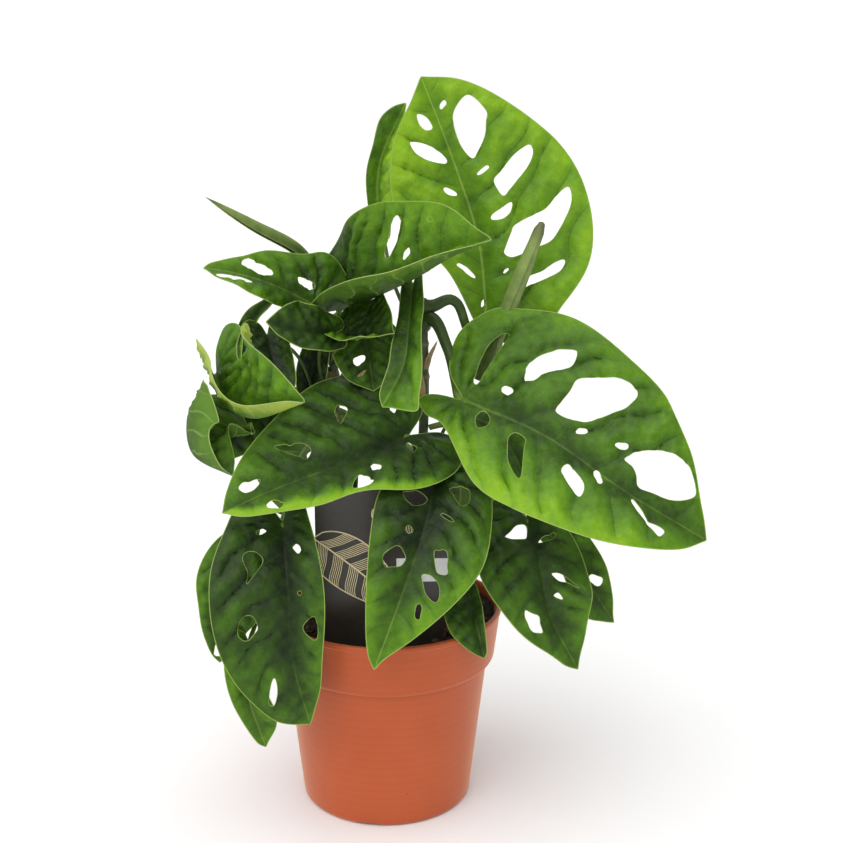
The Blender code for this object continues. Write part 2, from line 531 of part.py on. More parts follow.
def card_solid(grow):
    lean = math.radians(CARD_LEAN)
    short = card_cut()
    pts = card_outline(grow, CARD_HEIGHT - short)
    n = len(pts)
    half = CARD_THICK / 2 + grow
    foot = placed(CARD_FOOT) + np.array([0, -math.sin(lean), math.cos(lean)]) * short
    verts = []
    for y in (-half, half):
        for x, z in pts:
            verts.append((foot[0] + x, foot[1] + y * math.cos(lean) - z * math.sin(lean),
                          foot[2] + z * math.cos(lean) + y * math.sin(lean)))
    faces = [tuple(range(n)), tuple(reversed(range(n, 2 * n)))]
    faces += [(i, i + n, (i + 1) % n + n, (i + 1) % n) for i in range(n)]
    return verts, faces


def build_soil():
    floor = POT_FLOOR + GAP
    ledge = POT_HEIGHT - POT_BAND_HEIGHT
    top_r = np.interp(SOIL_TOP, [ledge + 1.5, POT_HEIGHT - 1.2], [POT_BAND_RADIUS - 1.6, POT_TOP_RADIUS - 2.9])
    profile = [(0, floor), (inner_radius(3) - 3.5, floor), (inner_radius(floor + 4) - 0.6, floor + 4),
               (inner_radius(ledge - 3) - 0.4, ledge - 3), (POT_BAND_RADIUS - 2.2, ledge + 1.5),
               (top_r - 0.4, SOIL_TOP), (0.66 * top_r, SOIL_TOP + 1), (0.33 * top_r, SOIL_TOP + 1), (0, SOIL_TOP + 1)]
    verts, faces = solid_of_revolution(profile, SOIL_SIDES)
    soil = add_object("soil", verts, faces, material("soil_earth", (0.035, 0.02, 0.012), 0.95))
    cut(soil, cutter("cut_card", *card_solid(GAP)))
    for name, (radius, line) in STEMS.items():
        z0 = line[0][2] + LIFT - GAP
        cut(soil, cutter("cut_" + name, *cylinder(line[0][:2], radius + GAP, z0, SOIL_TOP + 20, STEM_SIDES * 2)))
    return soil


def main():
    for obj in list(bpy.data.objects):
        bpy.data.objects.remove(obj)
    green = material("leaf_green", (0.05, 0.16, 0.02), 0.4)
    petiole = material("petiole_green", (0.10, 0.20, 0.04), 0.5)
    build_pot()
    build_soil()
    verts, faces = card_solid(0)
    add_object("plant_card", verts, faces, material("card_black", (0.012, 0.01, 0.009), 0.35))
    for name, (radius, line) in STEMS.items():
        path = smooth_line(placed(line), 3)
        radii = np.linspace(radius, 0.75 * radius, len(path))
        tube(name, path, radii, STEM_SIDES, petiole, (0, 0, 1))
    for name, (radius, line) in SPEARS.items():
        path = smooth_line(placed(line), 3)
        t = np.linspace(0, 1, len(path))
        radii = radius * np.maximum(0.12, np.sqrt(np.clip(1 - t ** 3, 0, 1)))
        tube(name, path, radii, STEM_SIDES, green)
    for spec in LEAVES:
        blade = Blade(spec)
        per = 3 if blade.length > 80 else 2
        build_blade(blade, per, green)
        build_petiole(blade, petiole)


main()
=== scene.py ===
"""A potted monstera: the visible surfaces of the leaves, stalks, stems, soil, card and pot,
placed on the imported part. Lengths in the tables are in millimetres."""
import math
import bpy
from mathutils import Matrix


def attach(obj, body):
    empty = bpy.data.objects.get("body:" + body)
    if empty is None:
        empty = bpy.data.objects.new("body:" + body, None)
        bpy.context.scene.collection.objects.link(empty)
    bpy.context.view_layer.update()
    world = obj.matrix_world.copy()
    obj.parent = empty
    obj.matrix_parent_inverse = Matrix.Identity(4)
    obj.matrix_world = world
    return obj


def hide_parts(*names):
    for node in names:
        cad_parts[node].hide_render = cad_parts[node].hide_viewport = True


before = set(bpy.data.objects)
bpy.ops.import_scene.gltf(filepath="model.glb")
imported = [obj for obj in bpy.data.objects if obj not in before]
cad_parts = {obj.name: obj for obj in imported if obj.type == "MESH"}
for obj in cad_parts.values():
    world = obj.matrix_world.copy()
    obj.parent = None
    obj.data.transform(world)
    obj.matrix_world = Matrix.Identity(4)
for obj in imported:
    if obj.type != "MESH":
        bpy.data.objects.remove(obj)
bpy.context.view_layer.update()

import bmesh
import bpy
import numpy as np
from mathutils import Matrix, Vector
from mathutils.geometry import delaunay_2d_cdt

MM = 0.001
PI, TURN = math.pi, 2 * math.pi

# Leaves, mm
LEAF_THICK = 0.5
RIM_THICK = 0.26                # the sheet thins to this at its margin
THINS_OVER = 2.2
STATIONS = (0.2, 0.4, 0.6, 0.8, 0.93)
LARGE_LEAF = 110.0              # length from which a blade has its full relief
QUILT, TROUGH, CREASE = 1.7, 1.1, 0.45      # height between veins, depth along midrib and side veins
RIB = 0.8                       # how far the midrib stands out below

# How a blade's colour differs from a plain mid-green one, mostly by painted light and shade: light is
# its painted level of light and shade, tip, left, right and edge add painted light towards those parts,
# lip adds to it near the margin of its left half, and base is painted shade taken off near the stalk.
# stalk thickens the stalk, puff the quilting, wave the edge. under is how pale the underside is, and
# dry browns the tip.
LOOK = dict(light=0.45, tip=0.0, right=0.0, left=0.0, edge=0.1, lip=0.0, base=0.0, stalk=1.0, puff=1.0,
            wave=1.4, under=0.5, dry=0.0)


def leaf(name, spine, face, left_half, right_half, stem, neck, holes=(), fold=(10, 10), curl=(0, 0),
         from_edge=False, **look):
    """A blade: the midrib from the petiole to the tip, the way its upper side looks with its painted light
    and shade, and for its left and right half the lobe's depth behind the petiole, then the width at the
    petiole and at the STATIONS along it. The petiole grows from a stem at a height and passes its neck.

    A hole runs from (across, along) to (across, along) with a width, or is a rounded outline
    through (across, along) points. fold tilts each half up from the midrib and curl bends it on
    (degrees). from_edge: the petiole meets the blade at its end, not under it."""
    return dict(name=name, spine=spine, face=face, halves=(left_half, right_half), stem=stem, neck=neck,
                holes=holes, fold=fold, curl=curl, from_edge=from_edge, look=dict(LOOK, **look))


LEAVES = [
    leaf("top", [(51, 8, 252), (47, 20, 292), (34, 30, 332), (18, 34, 372)], (-0.05, -1, 0.25),
         (2, 6, 17, 33, 36, 26, 9), (15, 35, 54, 58, 51, 34, 18), ("centre", 262),
         [(33, -1, 265), (43, 2, 248)],
         [[(19, 111), (24, 101), (22, 96), (19, 90), (13, 84), (9, 82), (6, 91), (7, 103), (12, 109)],
          [(-9, 112), (-5, 109), (-4, 103), (-8, 103), (-10, 107)],
          [(-18, 100), (-14, 99), (-7, 93), (-3, 86), (-5, 84), (-12, 88), (-17, 94)],
          [(38, 78), (39, 74), (35, 69), (27, 64), (22, 61), (18, 59), (16, 64), (16, 68), (21, 71), (30, 76)],
          (9, 73, 16, 75, 2.2), (-4, 67, -10, 72, 3),
          [(21, 55), (19, 51), (14, 49), (9, 50), (10, 52), (16, 54)],
          [(50, 54), (50, 49), (46, 44), (37, 36), (30, 34), (24, 33), (16, 31), (12, 33), (13, 36),
          (17, 42), (20, 45), (30, 47), (36, 48), (43, 52)],
          [(41, 27), (41, 25), (38, 22), (30, 19), (23, 17), (18, 15), (19, 18), (23, 21), (30, 23), (36, 26)],
          (-4, 23, -13, 31, 2.6), (10, 24, 13, 26, 1.3), (-2, 8, 0, 12, 1.6), (3, 110, 7, 113, 2.5)],
         fold=(8, 8), curl=(10, 0), from_edge=True, light=0.64, stalk=1.45, tip=0.14, left=0.12, edge=0.14),
    leaf("front_right", [(37, -30, 222), (75, -50, 209), (111, -68, 187), (149, -75, 165)], (0.1, -0.85, 0.5),
         (18, 54, 60, 55, 49, 33, 12), (19, 18, 38, 40, 33, 21, 11), ("centre", 256), (30, -12, 244),
         [[(-40, 4), (-37, 6), (-25, 5), (-11, 4), (-9, 2), (-14, 0), (-26, -1), (-34, 0)],
          (-11, 16, -13, 21, 4),
          [(-20, 24), (-23, 23), (-28, 22), (-33, 24), (-40, 30), (-44, 37), (-39, 39), (-34, 37), (-28, 31),
          (-22, 28)],
          [(-13, 43), (-18, 43), (-24, 44), (-31, 44), (-36, 49), (-42, 55), (-44, 60), (-44, 64), (-42, 67),
          (-39, 68), (-33, 67), (-27, 64), (-20, 60), (-16, 57), (-13, 52), (-12, 47)],
          (-9, 56, -13, 60, 3), (-15, 74, -18, 80, 3),
          [(-12, 82), (-15, 83), (-19, 85), (-24, 92), (-26, 98), (-27, 106), (-26, 111), (-22, 116),
          (-17, 120), (-14, 120), (-10, 116), (-7, 110), (-6, 103), (-5, 95), (-9, 91), (-11, 87)],
          [(1, 12), (4, 17), (9, 18), (12, 15), (7, 11)],
          [(6, 32), (7, 38), (11, 40), (15, 42), (26, 48), (25, 43), (21, 37), (17, 34), (11, 31)],
          [(7, 62), (6, 64), (8, 70), (10, 74), (13, 76), (16, 76), (15, 71), (13, 65), (11, 62)],
          (0, 74, 4, 80, 3.5),
          [(1, 96), (4, 102), (7, 106), (7, 112), (8, 115), (11, 114), (10, 110), (6, 101), (3, 96)]],
         fold=(8, 8), curl=(-10, -10), light=0.38, stalk=1.6, right=0.36, left=0.04, edge=0.16),
    leaf("front_left", [(12, -20, 202), (-22, -45, 194), (-52, -62, 187), (-75, -75, 180)], (0, -0.72, 0.69),
         (20, 31, 29, 19, 17, 12, 7), (20, 45, 46, 42, 34, 21, 9), ("centre", 182), (14, -10, 195),
         [[(27, 28), (29, 24), (26, 21), (23, 24), (20, 29), (23, 29)],
          [(20, 68), (19, 61), (18, 57), (15, 53), (11, 53), (9, 57), (11, 60), (15, 64), (17, 67)],
          [(7, 93), (9, 89), (7, 82), (4, 86), (4, 91)], (-9, 78, -7, 86, 4),
          [(-15, 45), (-11, 40), (-13, 36), (-16, 34), (-17, 40)],
          (-7, 29, -12, 28, 4), (-4, 4, -10, 5, 4), (18, -1, 14, 0, 2.5)],
         fold=(0, 0), curl=(12, 0), light=0.20, tip=0.22, edge=0.10, lip=0.6),
    leaf("front_centre", [(25, -32, 183), (17, -55, 161), (6, -70, 133), (-6, -78, 102)], (0, -0.95, 0.3),
         (9, 27, 31, 32, 24, 12, 3), (8, 20, 26, 24, 19, 12, 6), ("centre", 160), (27, -17, 179),
         [[(15, 16), (10, 13), (5, 12), (2, 13), (3, 16), (7, 19), (11, 19)], (9, 33, 5, 32, 3),
          [(15, 49), (13, 45), (10, 42), (7, 43), (4, 46), (5, 50), (9, 52), (12, 53)],
          [(-8, 39), (-10, 38), (-13, 37), (-15, 40), (-16, 44), (-17, 47), (-13, 48), (-11, 46)],
          [(-6, 51), (-9, 50), (-12, 51), (-15, 53), (-17, 58), (-16, 61), (-11, 59), (-8, 55)],
          (-9, 64, -11, 71, 3.2), (-6, 20, -13, 23, 1.8),
          [(-7, 5), (-11, 4), (-16, 4), (-18, 9), (-17, 13), (-14, 14), (-10, 9)]],
         light=0.08, tip=0.52, left=0.22, edge=0.10),
    leaf("hanging_left", [(-50, -45, 166), (-47, -62, 137), (-45, -66, 102), (-37, -64, 67)], (0, -0.97, 0.2),
         (11, 13, 17, 18, 16, 11, 4), (8, 26, 35, 37, 33, 23, 14), ("left", 130), (-42, -28, 176),
         [(13, 6, 8, 5, 2.5), [(19, 16), (15, 15), (11, 18), (11, 21), (15, 26), (19, 30), (18, 25), (20, 19)],
          [(-4, 14), (-6, 13), (-8, 15), (-7, 18), (-5, 16)],
          [(15, 51), (17, 54), (20, 56), (24, 54), (24, 50), (22, 46), (18, 45), (16, 47)],
          [(10, 75), (10, 80), (12, 86), (14, 88), (16, 86), (14, 81), (12, 77)],
          [(-7, 52), (-10, 48), (-13, 47), (-14, 53), (-13, 58), (-9, 56)], (-5, 36, -7, 36, 2)],
         light=0.12, tip=0.24, left=0.10, edge=0.08),
    leaf("hanging_right", [(70, -20, 159), (75, -38, 142), (80, -52, 118), (94, -55, 91)], (0.1, -0.95, 0.3),
         (8, 14, 19, 22, 22, 13, 4), (11, 24, 32, 32, 21, 10, 5), ("right", 140), (58, -8, 172),
         [[(14, 11), (10, 8), (6, 5), (1, 5), (2, 10), (4, 13), (10, 13)],
          [(-2, 16), (-6, 14), (-11, 14), (-10, 16), (-7, 17)],
          [(-5, 33), (-9, 34), (-13, 38), (-17, 43), (-12, 39), (-8, 37), (-6, 35)],
          [(-4, 44), (-6, 43), (-7, 44), (-8, 47), (-6, 46)],
          [(12, 48), (9, 50), (6, 52), (7, 58), (9, 58), (12, 56), (13, 52)]],
         light=0.22, tip=0.18, left=0.05, edge=0.08),
    leaf("right_behind", [(79, -5, 149), (91, -12, 138), (105, -18, 119), (117, -20, 101)], (0.2, -0.9, 0.4),
         (6, 12, 14, 14, 12, 7, 2), (3, 5, 7, 9, 13, 12, 5), ("right", 118), (62, 6, 150),
         [(-3, 36, -5, 43, 5)],
         light=0.36),
    leaf("small_rim", [(41, -26, 122), (44, -43, 112), (48, -52, 96)], (0, -0.9, 0.4),
         (4, 5, 5, 5, 4, 3, 2), (5, 9, 13, 15, 14, 9, 4), ("right", 102), (32, -12, 118),
         light=0.28),
    leaf("centre_upper", [(-26, 18, 258), (-8, 2, 267), (13, -14, 279), (31, -29, 292), (48, -42, 301)],
         (0, -0.5, 0.86),
         (14, 27, 38, 41, 36, 24, 8), (11, 20, 30, 34, 28, 20, 12), ("left", 238), (-28, 22, 250),
         [(-14, 43, -30, 60, 5), (-19, 76, -20, 78, 3), (-9, 53, -13, 59, 2.6)],
         fold=(50, 15), curl=(10, 60), light=0.50, tip=0.16, edge=0.05, base=0.35),
    leaf("left_upper", [(-36, -4, 264), (-53, -11, 274), (-69, -24, 282), (-84, -38, 287)], (0, -0.8, 0.6),
         (12, 8, 9, 11, 11, 9, 5), (18, 30, 23, 18, 11, 6, 3), ("left", 230), (-46, 3, 254),
         [(6, 23, 7, 40, 6), (9, 1, 8, 11, 5), (-3, 36, -4, 59, 3)],
         fold=(5, -5), curl=(5, 5), light=0.44, tip=0.18, base=0.14),
    leaf("left_mid", [(-84, -12, 231), (-77, -34, 222), (-61, -54, 220), (-37, -74, 232)], (0.1, -0.5, 0.86),
         (20, 27, 22, 39, 43, 29, 10), (12, 21, 22, 17, 13, 9, 5), ("left", 194), (-70, 2, 224),
         fold=(50, 45), curl=(25, 60), light=0.46, tip=0.06, under=0.8, wave=2.2),
    leaf("left_low", [(-91, -18, 219), (-94, -34, 212), (-90, -46, 199), (-72, -50, 190)], (0.8, -0.35, 0.5),
         (10, 22, 29, 31, 27, 18, 9), (5, 12, 20, 26, 26, 17, 6), ("left", 184), (-78, -6, 212),
         fold=(30, 30), curl=(20, 70), light=0.46, right=0.15, under=0.35, wave=2.0),
    leaf("left_back", [(-69, -2, 239), (-65, -6, 256), (-54, -4, 268)], (-0.4, -0.9, 0.2),
         (5, 8, 7, 6, 5, 3, 2), (5, 9, 9, 5, 3, 3, 2), ("left", 212), (-58, 6, 232),
         fold=(20, 20), light=0.26),
    leaf("behind_left", [(-66, -30, 150), (-78, -38, 134), (-85, -42, 114), (-83, -42, 90)], (-0.3, -0.95, 0.2),
         (10, 18, 25, 27, 23, 15, 6), (8, 12, 15, 14, 8, 5, 3), ("left", 112), (-60, -14, 160),
         [(-3, 55, 1, 64, 4)],
         light=0.36, right=0.1),
    leaf("low_left", [(-67, -52, 106), (-68, -57, 82), (-60, -52, 49)], (0, -0.95, 0.2),
         (4, 7, 9, 10, 12, 9, 3), (6, 12, 11, 9, 7, 5, 3), ("left", 100), (-58, -34, 118),
         light=0.5),
    leaf("behind_top", [(-4, 44, 295), (-3, 42, 328), (10, 34, 359)], (-0.3, -0.9, 0.3),
         (3, 4, 5, 6, 6, 8, 5), (6, 12, 13, 13, 11, 8, 4), ("centre", 244), (4, 26, 270),
         fold=(20, 30), curl=(20, 20), light=0.60, right=0.35, left=-0.2),
    leaf("centre_dark", [(-22, -2, 250), (-12, -13, 249), (4, -28, 254)], (0, -0.5, 0.85),
         (8, 18, 24, 26, 22, 14, 4), (6, 12, 15, 16, 14, 11, 4), ("left", 234), (-25, -2, 240),
         fold=(20, 20), curl=(10, 10), light=0.16, right=0.3, edge=0.2),
    leaf("centre_olive", [(-12, 9, 249), (-9, 2, 239), (-6, -6, 220)], (0, -0.9, 0.3),
         (6, 14, 17, 18, 16, 12, 5), (6, 14, 17, 18, 16, 12, 5), ("left", 224), (-14, 14, 242),
         [(2, 15, 8, 19, 4)],
         light=0.30),
    leaf("centre_hanging", [(13, -8, 275), (11, -22, 259), (8, -38, 240), (-2, -46, 222)], (-0.5, -0.85, 0.1),
         (4, 7, 9, 9, 11, 15, 18), (4, 5, 6, 7, 7, 6, 4), ("centre", 256), (15, 3, 270),
         light=0.30, tip=0.16, left=0.10, right=-0.2),
    leaf("left_wavy", [(-24, -8, 250), (-40, -20, 254), (-57, -26, 259)], (0, -0.85, 0.5),
         (5, 9, 11, 11, 9, 7, 3), (5, 9, 12, 13, 14, 10, 4), ("left", 218), (-33, -2, 238),
         light=0.20, edge=0.1, wave=2.6),
    leaf("left_olive", [(-58, -10, 250), (-54, -22, 238), (-47, -34, 222)], (0.3, -0.9, 0.3),
         (6, 9, 10, 10, 9, 7, 3), (8, 14, 17, 18, 15, 10, 4), ("left", 204), (-46, -3, 240),
         light=0.12, dry=0.2),
    leaf("back_left", [(-18, 26, 196), (-36, 50, 186), (-52, 70, 160), (-60, 80, 130)], (-0.3, 0.8, 0.5),
         (14, 28, 36, 37, 30, 18, 8), (14, 28, 36, 37, 30, 18, 8), ("left", 150), (-16, 16, 184),
         [(8, 18, 24, 26, 7), (9, 38, 25, 50, 8), (-8, 20, -22, 30, 7), (-9, 42, -24, 54, 8),
          (7, 60, 15, 70, 5), (-7, 64, -14, 72, 4)],
         light=0.40, tip=0.10),
    leaf("back_right", [(24, 22, 178), (36, 46, 172), (42, 66, 148), (40, 78, 116)], (0.2, 0.85, 0.45),
         (12, 24, 32, 32, 26, 16, 7), (12, 24, 32, 32, 26, 16, 7), ("right", 146), (26, 14, 168),
         [(7, 16, 20, 24, 6), (8, 34, 22, 46, 8), (-7, 18, -19, 26, 6), (-8, 38, -20, 50, 8),
          (6, 56, 12, 64, 4)],
         fold=(12, 12), light=0.38, tip=0.10),
    leaf("back_low", [(-6, 30, 140), (-12, 50, 134), (-16, 66, 112), (-16, 74, 84)], (0, 0.9, 0.35),
         (10, 20, 25, 25, 20, 12, 5), (10, 20, 25, 25, 20, 12, 5), ("left", 112), (-8, 20, 132),
         [(6, 16, 16, 22, 5), (-6, 28, -17, 38, 6)],
         light=0.30, tip=0.10),
    # young blades deep inside the plant, seen only through gaps and holes
    leaf("inner_right", [(42, 8, 204), (58, 16, 194), (71, 18, 172), (78, 14, 152)], (-0.1, -0.8, 0.6),
         (8, 13, 15, 15, 12, 7, 3), (8, 13, 15, 15, 12, 7, 3), ("centre", 178), (32, 6, 200),
         light=0.42, edge=0.2),
    leaf("inner_left", [(-54, 8, 218), (-69, 0, 207), (-82, -10, 184)], (0.1, -0.9, 0.4),
         (8, 15, 18, 18, 14, 9, 3), (8, 15, 18, 18, 14, 9, 3), ("left", 184), (-44, 14, 208),
         light=0.16, edge=0.2),
    leaf("inner_centre", [(-33, 6, 243), (-37, 2, 228), (-39, -2, 204)], (0, -0.9, 0.3),
         (4, 7, 8, 8, 7, 5, 2), (4, 7, 8, 8, 7, 5, 2), ("left", 218), (-31, 10, 236),
         fold=(15, 15), light=0.04, edge=0.06),
]

# Stems: radius, and their line from the soil up
STEMS = {
    "centre": (2.8, [(12, -2, 72), (12, -2, 84), (12, -2, 96), (15, -1, 140), (19, 0, 200), (19, 0, 240),
                     (18, -3, 266)]),
    "left": (2.8, [(-14, 6, 72), (-14, 6, 84), (-14, 6, 96), (-20, 8, 140), (-26, 6, 190), (-26, 6, 225),
                   (-29, 10, 244)]),
    "right": (2.4, [(24, 4, 72), (24, 4, 84), (24, 4, 96), (30, 4, 120), (36, 2, 150)]),
}
# Rolled new leaves: largest radius, turns of the roll, whether its end is open, and its line
ROLLS = {
    "right": (4.8, 1.35, True, [(47, -4, 225), (54, -3, 243), (62, -1, 263), (70, 0, 284), (77, 2, 302)]),
    "small": (2.2, 1.35, True, [(22, -2, 200), (38, -5, 206), (52, -9, 221), (55, -11, 236), (57, -12, 251)]),
    "left": (3.6, 1.2, False, [(-34, 34, 272), (-45, 26, 287), (-65, 14, 300), (-87, 2, 315)]),
}
# Dry papery flaps: foot, direction along, direction out, length, width, curl
SHEATHS = [
    ((-24, 3, 196), (-0.25, -0.3, 1), (-0.6, -0.8, 0), 26, 7, 5),
    ((-21, 4, 212), (0.5, -0.4, 1), (0.3, -0.95, 0), 22, 7, 4),
    ((-28, 4, 228), (-0.3, -0.2, -1), (-0.2, -0.9, 0), 18, 6, 4),
    ((17, -2, 214), (0.1, -0.1, 1), (-0.5, -0.8, 0), 16, 5, 2),
    ((21, -1, 230), (0.2, -0.1, 1), (0.8, -0.6, 0), 15, 5, 2),
    ((14, -4, 128), (0.1, -0.3, 1), (0.2, -1, 0), 18, 7, 4),
    ((27, 1, 112), (0.2, -0.4, 1), (0.3, -0.9, 0), 20, 7, 5),
    ((-17, 5, 118), (-0.2, 0.3, 1), (-0.4, 0.9, 0), 22, 7, 5),
]
# Roots that hang from the stems to the soil: radius, and their line
ROOTS = [
    (0.9, [(20, 0, 176), (24, -6, 166), (25, -8, 146), (22, -6, 118), (21, -8, 92)]),
    (0.9, [(-24, 7, 166), (-30, 12, 152), (-31, 13, 124), (-27, 12, 92)]),
    (0.8, [(-22, 8, 150), (-18, 14, 138), (-16, 16, 112), (-19, 18, 91)]),
]

# Pot and soil, mm
POT_HEIGHT = 105.0
POT_TOP_RADIUS = 60.0
POT_BAND_RADIUS = 56.5
POT_NECK_RADIUS = 53.0
POT_BASE_RADIUS = 44.2
POT_LEDGE = 78.0
POT_WALL = 1.6
POT_FLOOR = 2.4
POT_SIDES = 192
FOOT_NOTCHES = 4
FOOT_NOTCH_ANGLE = 258.0
FOOT_NOTCH_WIDTH = 12.0
FOOT_NOTCH_DEPTH = 1.4
FOOT_NOTCH_INNER = 32.0
DRAIN_COUNT = 8
DRAIN_RADIUS = 3.5
DRAIN_CIRCLE = 24.0
SOIL_TOP = 90.0
SOIL_RADIUS = 56.0
HEAP = 10.5                     # how much higher the soil lies at the right

# Plant card, mm
CARD_WIDTH, CARD_HEIGHT, CARD_THICK, CARD_CORNER = 68.0, 116.0, 0.6, 4.0
CARD_FOOT = np.array([-1.0, -27.0, 62.0])
CARD_LEAN = math.radians(3.0)
SUNK = -0.05                    # the underside of what is printed or glued on the card


# ---------------------------------------------------------------- lines, nets and noise

def unit(v):
    v = np.asarray(v, float)
    return v / np.maximum(np.linalg.norm(v, axis=-1, keepdims=True), 1e-12)


def smooth_line(points, per):
    """A curve through the points, with `per` steps from each to the next."""
    p = np.asarray(points, float)
    p = np.vstack([2 * p[0] - p[1], p, 2 * p[-1] - p[-2]])
    out = []
    for a, b, c, d in zip(p, p[1:], p[2:], p[3:]):
        for t in np.arange(per) / per:
            out.append(0.5 * (2 * b + (c - a) * t + (2 * a - 5 * b + 4 * c - d) * t ** 2
                              + (3 * b - a - 3 * c + d) * t ** 3))
    return np.array(out + [p[-2]])


def closed_line(points, per):
    """A rounded loop through the points."""
    n = len(points)
    line = smooth_line([points[k % n] for k in range(-1, n + 2)], per)
    return line[per:per * (n + 1)]


def flowing_line(points, per):
    """As smooth_line, for points at uneven distances: it never swings out near a short step."""
    p = np.asarray(points, float)
    steps = np.diff(p, axis=0)
    ways = unit(steps)
    turn = np.vstack([ways[:1], unit(ways[:-1] + ways[1:]), ways[-1:]])
    out = []
    for i, step in enumerate(np.linalg.norm(steps, axis=1)):
        for t in np.arange(per) / per:
            out.append((2 * t ** 3 - 3 * t ** 2 + 1) * p[i] + (3 * t ** 2 - 2 * t ** 3) * p[i + 1]
                       + step * ((t ** 3 - 2 * t ** 2 + t) * turn[i] + (t ** 3 - t ** 2) * turn[i + 1]))
    return np.array(out + [p[-1]])


def run_of(line):
    """The distance along a line to each of its points."""
    return np.concatenate([[0], np.cumsum(np.linalg.norm(np.diff(line, axis=0), axis=1))])


def even(line, step):
    """The open line again, with points about `step` apart."""
    s = run_of(line)
    t = np.linspace(0, s[-1], max(2, int(round(s[-1] / step)) + 1))
    return np.stack([np.interp(t, s, line[:, k]) for k in range(line.shape[1])], 1)


def circle(sides):
    return np.arange(sides) * TURN / sides


def smoothstep(x, a, b):
    t = np.clip((x - a) / (b - a), 0, 1)
    return t * t * (3 - 2 * t)


def bell(x, width):
    return np.exp(-(x / width) ** 2)


def ripple(points, seed, size, count=14):
    """Smooth irregular waves about `size` mm long, mostly between -1 and 1."""
    rng = np.random.default_rng(seed)
    p = np.atleast_2d(points)
    way = unit(rng.normal(size=(count, p.shape[1])))
    k = TURN / size * rng.uniform(0.6, 1.5, count)
    shift = rng.uniform(0, TURN, count)
    return np.sin(p @ (way * k[:, None]).T + shift).sum(axis=1) / math.sqrt(count)


def net(rows, cols, closed=True, flip=False):
    """The faces between rows of points; closed joins the ends of each row, flip turns them over."""
    faces = []
    for i in range(rows - 1):
        for k in range(cols if closed else cols - 1):
            a, b = i * cols + k, i * cols + (k + 1) % cols
            faces.append((a, a + cols, b + cols, b) if flip else (a, b, b + cols, a + cols))
    return faces


def backs(faces, shift):
    """The same faces on the points `shift` later, looking the other way."""
    return [tuple(v + shift for v in reversed(f)) for f in faces]


def closed_net(rows, sides):
    """The faces of a closed tube of rings; the last two points are the middles of its ends."""
    faces, first, last = net(rows, sides), rows * sides, (rows - 1) * sides
    for k in range(sides):
        n = (k + 1) % sides
        faces += [(first, n, k), (first + 1, last + k, last + n)]
    return faces


def join(parts):
    """The points and faces of several nets as one."""
    verts, faces, start = [], [], 0
    for v, f in parts:
        verts.append(v)
        faces += [tuple(i + start for i in face) for face in f]
        start += len(v)
    return np.vstack(verts), faces


def turned_frames(line, beside):
    """Direction and two cross directions along a line, without twist."""
    tangents = unit(np.gradient(line, axis=0))
    side = unit(np.cross(tangents[0], beside))
    for tangent in tangents:
        side = unit(side - tangent * (side @ tangent))
        yield tangent, side, np.cross(tangent, side)


# ---------------------------------------------------------------- pieces

def place_object(name, data):
    obj = bpy.data.objects.new(name, data)
    bpy.context.scene.collection.objects.link(obj)
    return obj


def new_object(name, verts, faces, mats, face_mats=None, sharp=50, slot=None, node=None):
    """A mesh piece from points in mm, riding on the part and standing for a CAD node if it has one."""
    mesh = bpy.data.meshes.new(name)
    mesh.from_pydata([tuple(float(c) * MM for c in v) for v in verts], [],
                     [tuple(int(i) for i in f) for f in faces])
    for m in mats:
        mesh.materials.append(m)
    if face_mats is not None:
        mesh.polygons.foreach_set("material_index", np.asarray(face_mats, np.int32))
    mesh.shade_smooth()
    mesh.set_sharp_from_angle(angle=math.radians(sharp))
    mesh.update()
    obj = place_object(name, mesh)
    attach(obj, "root")
    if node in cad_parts:
        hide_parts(node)
    return obj


def paint(obj, name, *values):
    """Stores up to four numbers for each point of the mesh."""
    data = np.ones((len(obj.data.vertices), 4), np.float32)
    data[:, :len(values)] = np.stack(values, 1)
    layer = obj.data.color_attributes.new(name, "FLOAT_COLOR", "POINT")
    layer.data.foreach_set("color", data.ravel())


def both(values):
    """Values for the points of a sheet's front and back."""
    return np.concatenate([values, values])


def tube(name, line, radii, sides, mat, slot, tone, node=None):
    """A closed tube along the line, with a radius (or one for each side) and a tone for each point."""
    verts, a = [], circle(sides)
    for p, r, (_, side, other) in zip(line, radii, turned_frames(line, (0.31, 0.52, 0.17))):
        verts.append(p + (r * np.cos(a))[:, None] * side + (r * np.sin(a))[:, None] * other)
    obj = new_object(name, np.vstack(verts + [line[:1], line[-1:]]), closed_net(len(line), sides), [mat],
                     slot=slot, node=node)
    paint(obj, "tone", np.concatenate([np.repeat(tone, sides), tone[:1], tone[-1:]]))


# ---------------------------------------------------------------- leaf blades

def half_outline(w, length):
    """One half of a blade from the petiole round its lobe to the tip."""
    lobe, w0 = w[0], w[1]
    start = [(0, 0), (0.20 * w0, -0.72 * lobe), (0.55 * w0, -lobe), (0.87 * w0, -0.6 * lobe), (w0, 0)]
    return smooth_line(start + [(x, f * length) for x, f in zip(w[2:], STATIONS)] + [(0, length)], 16)


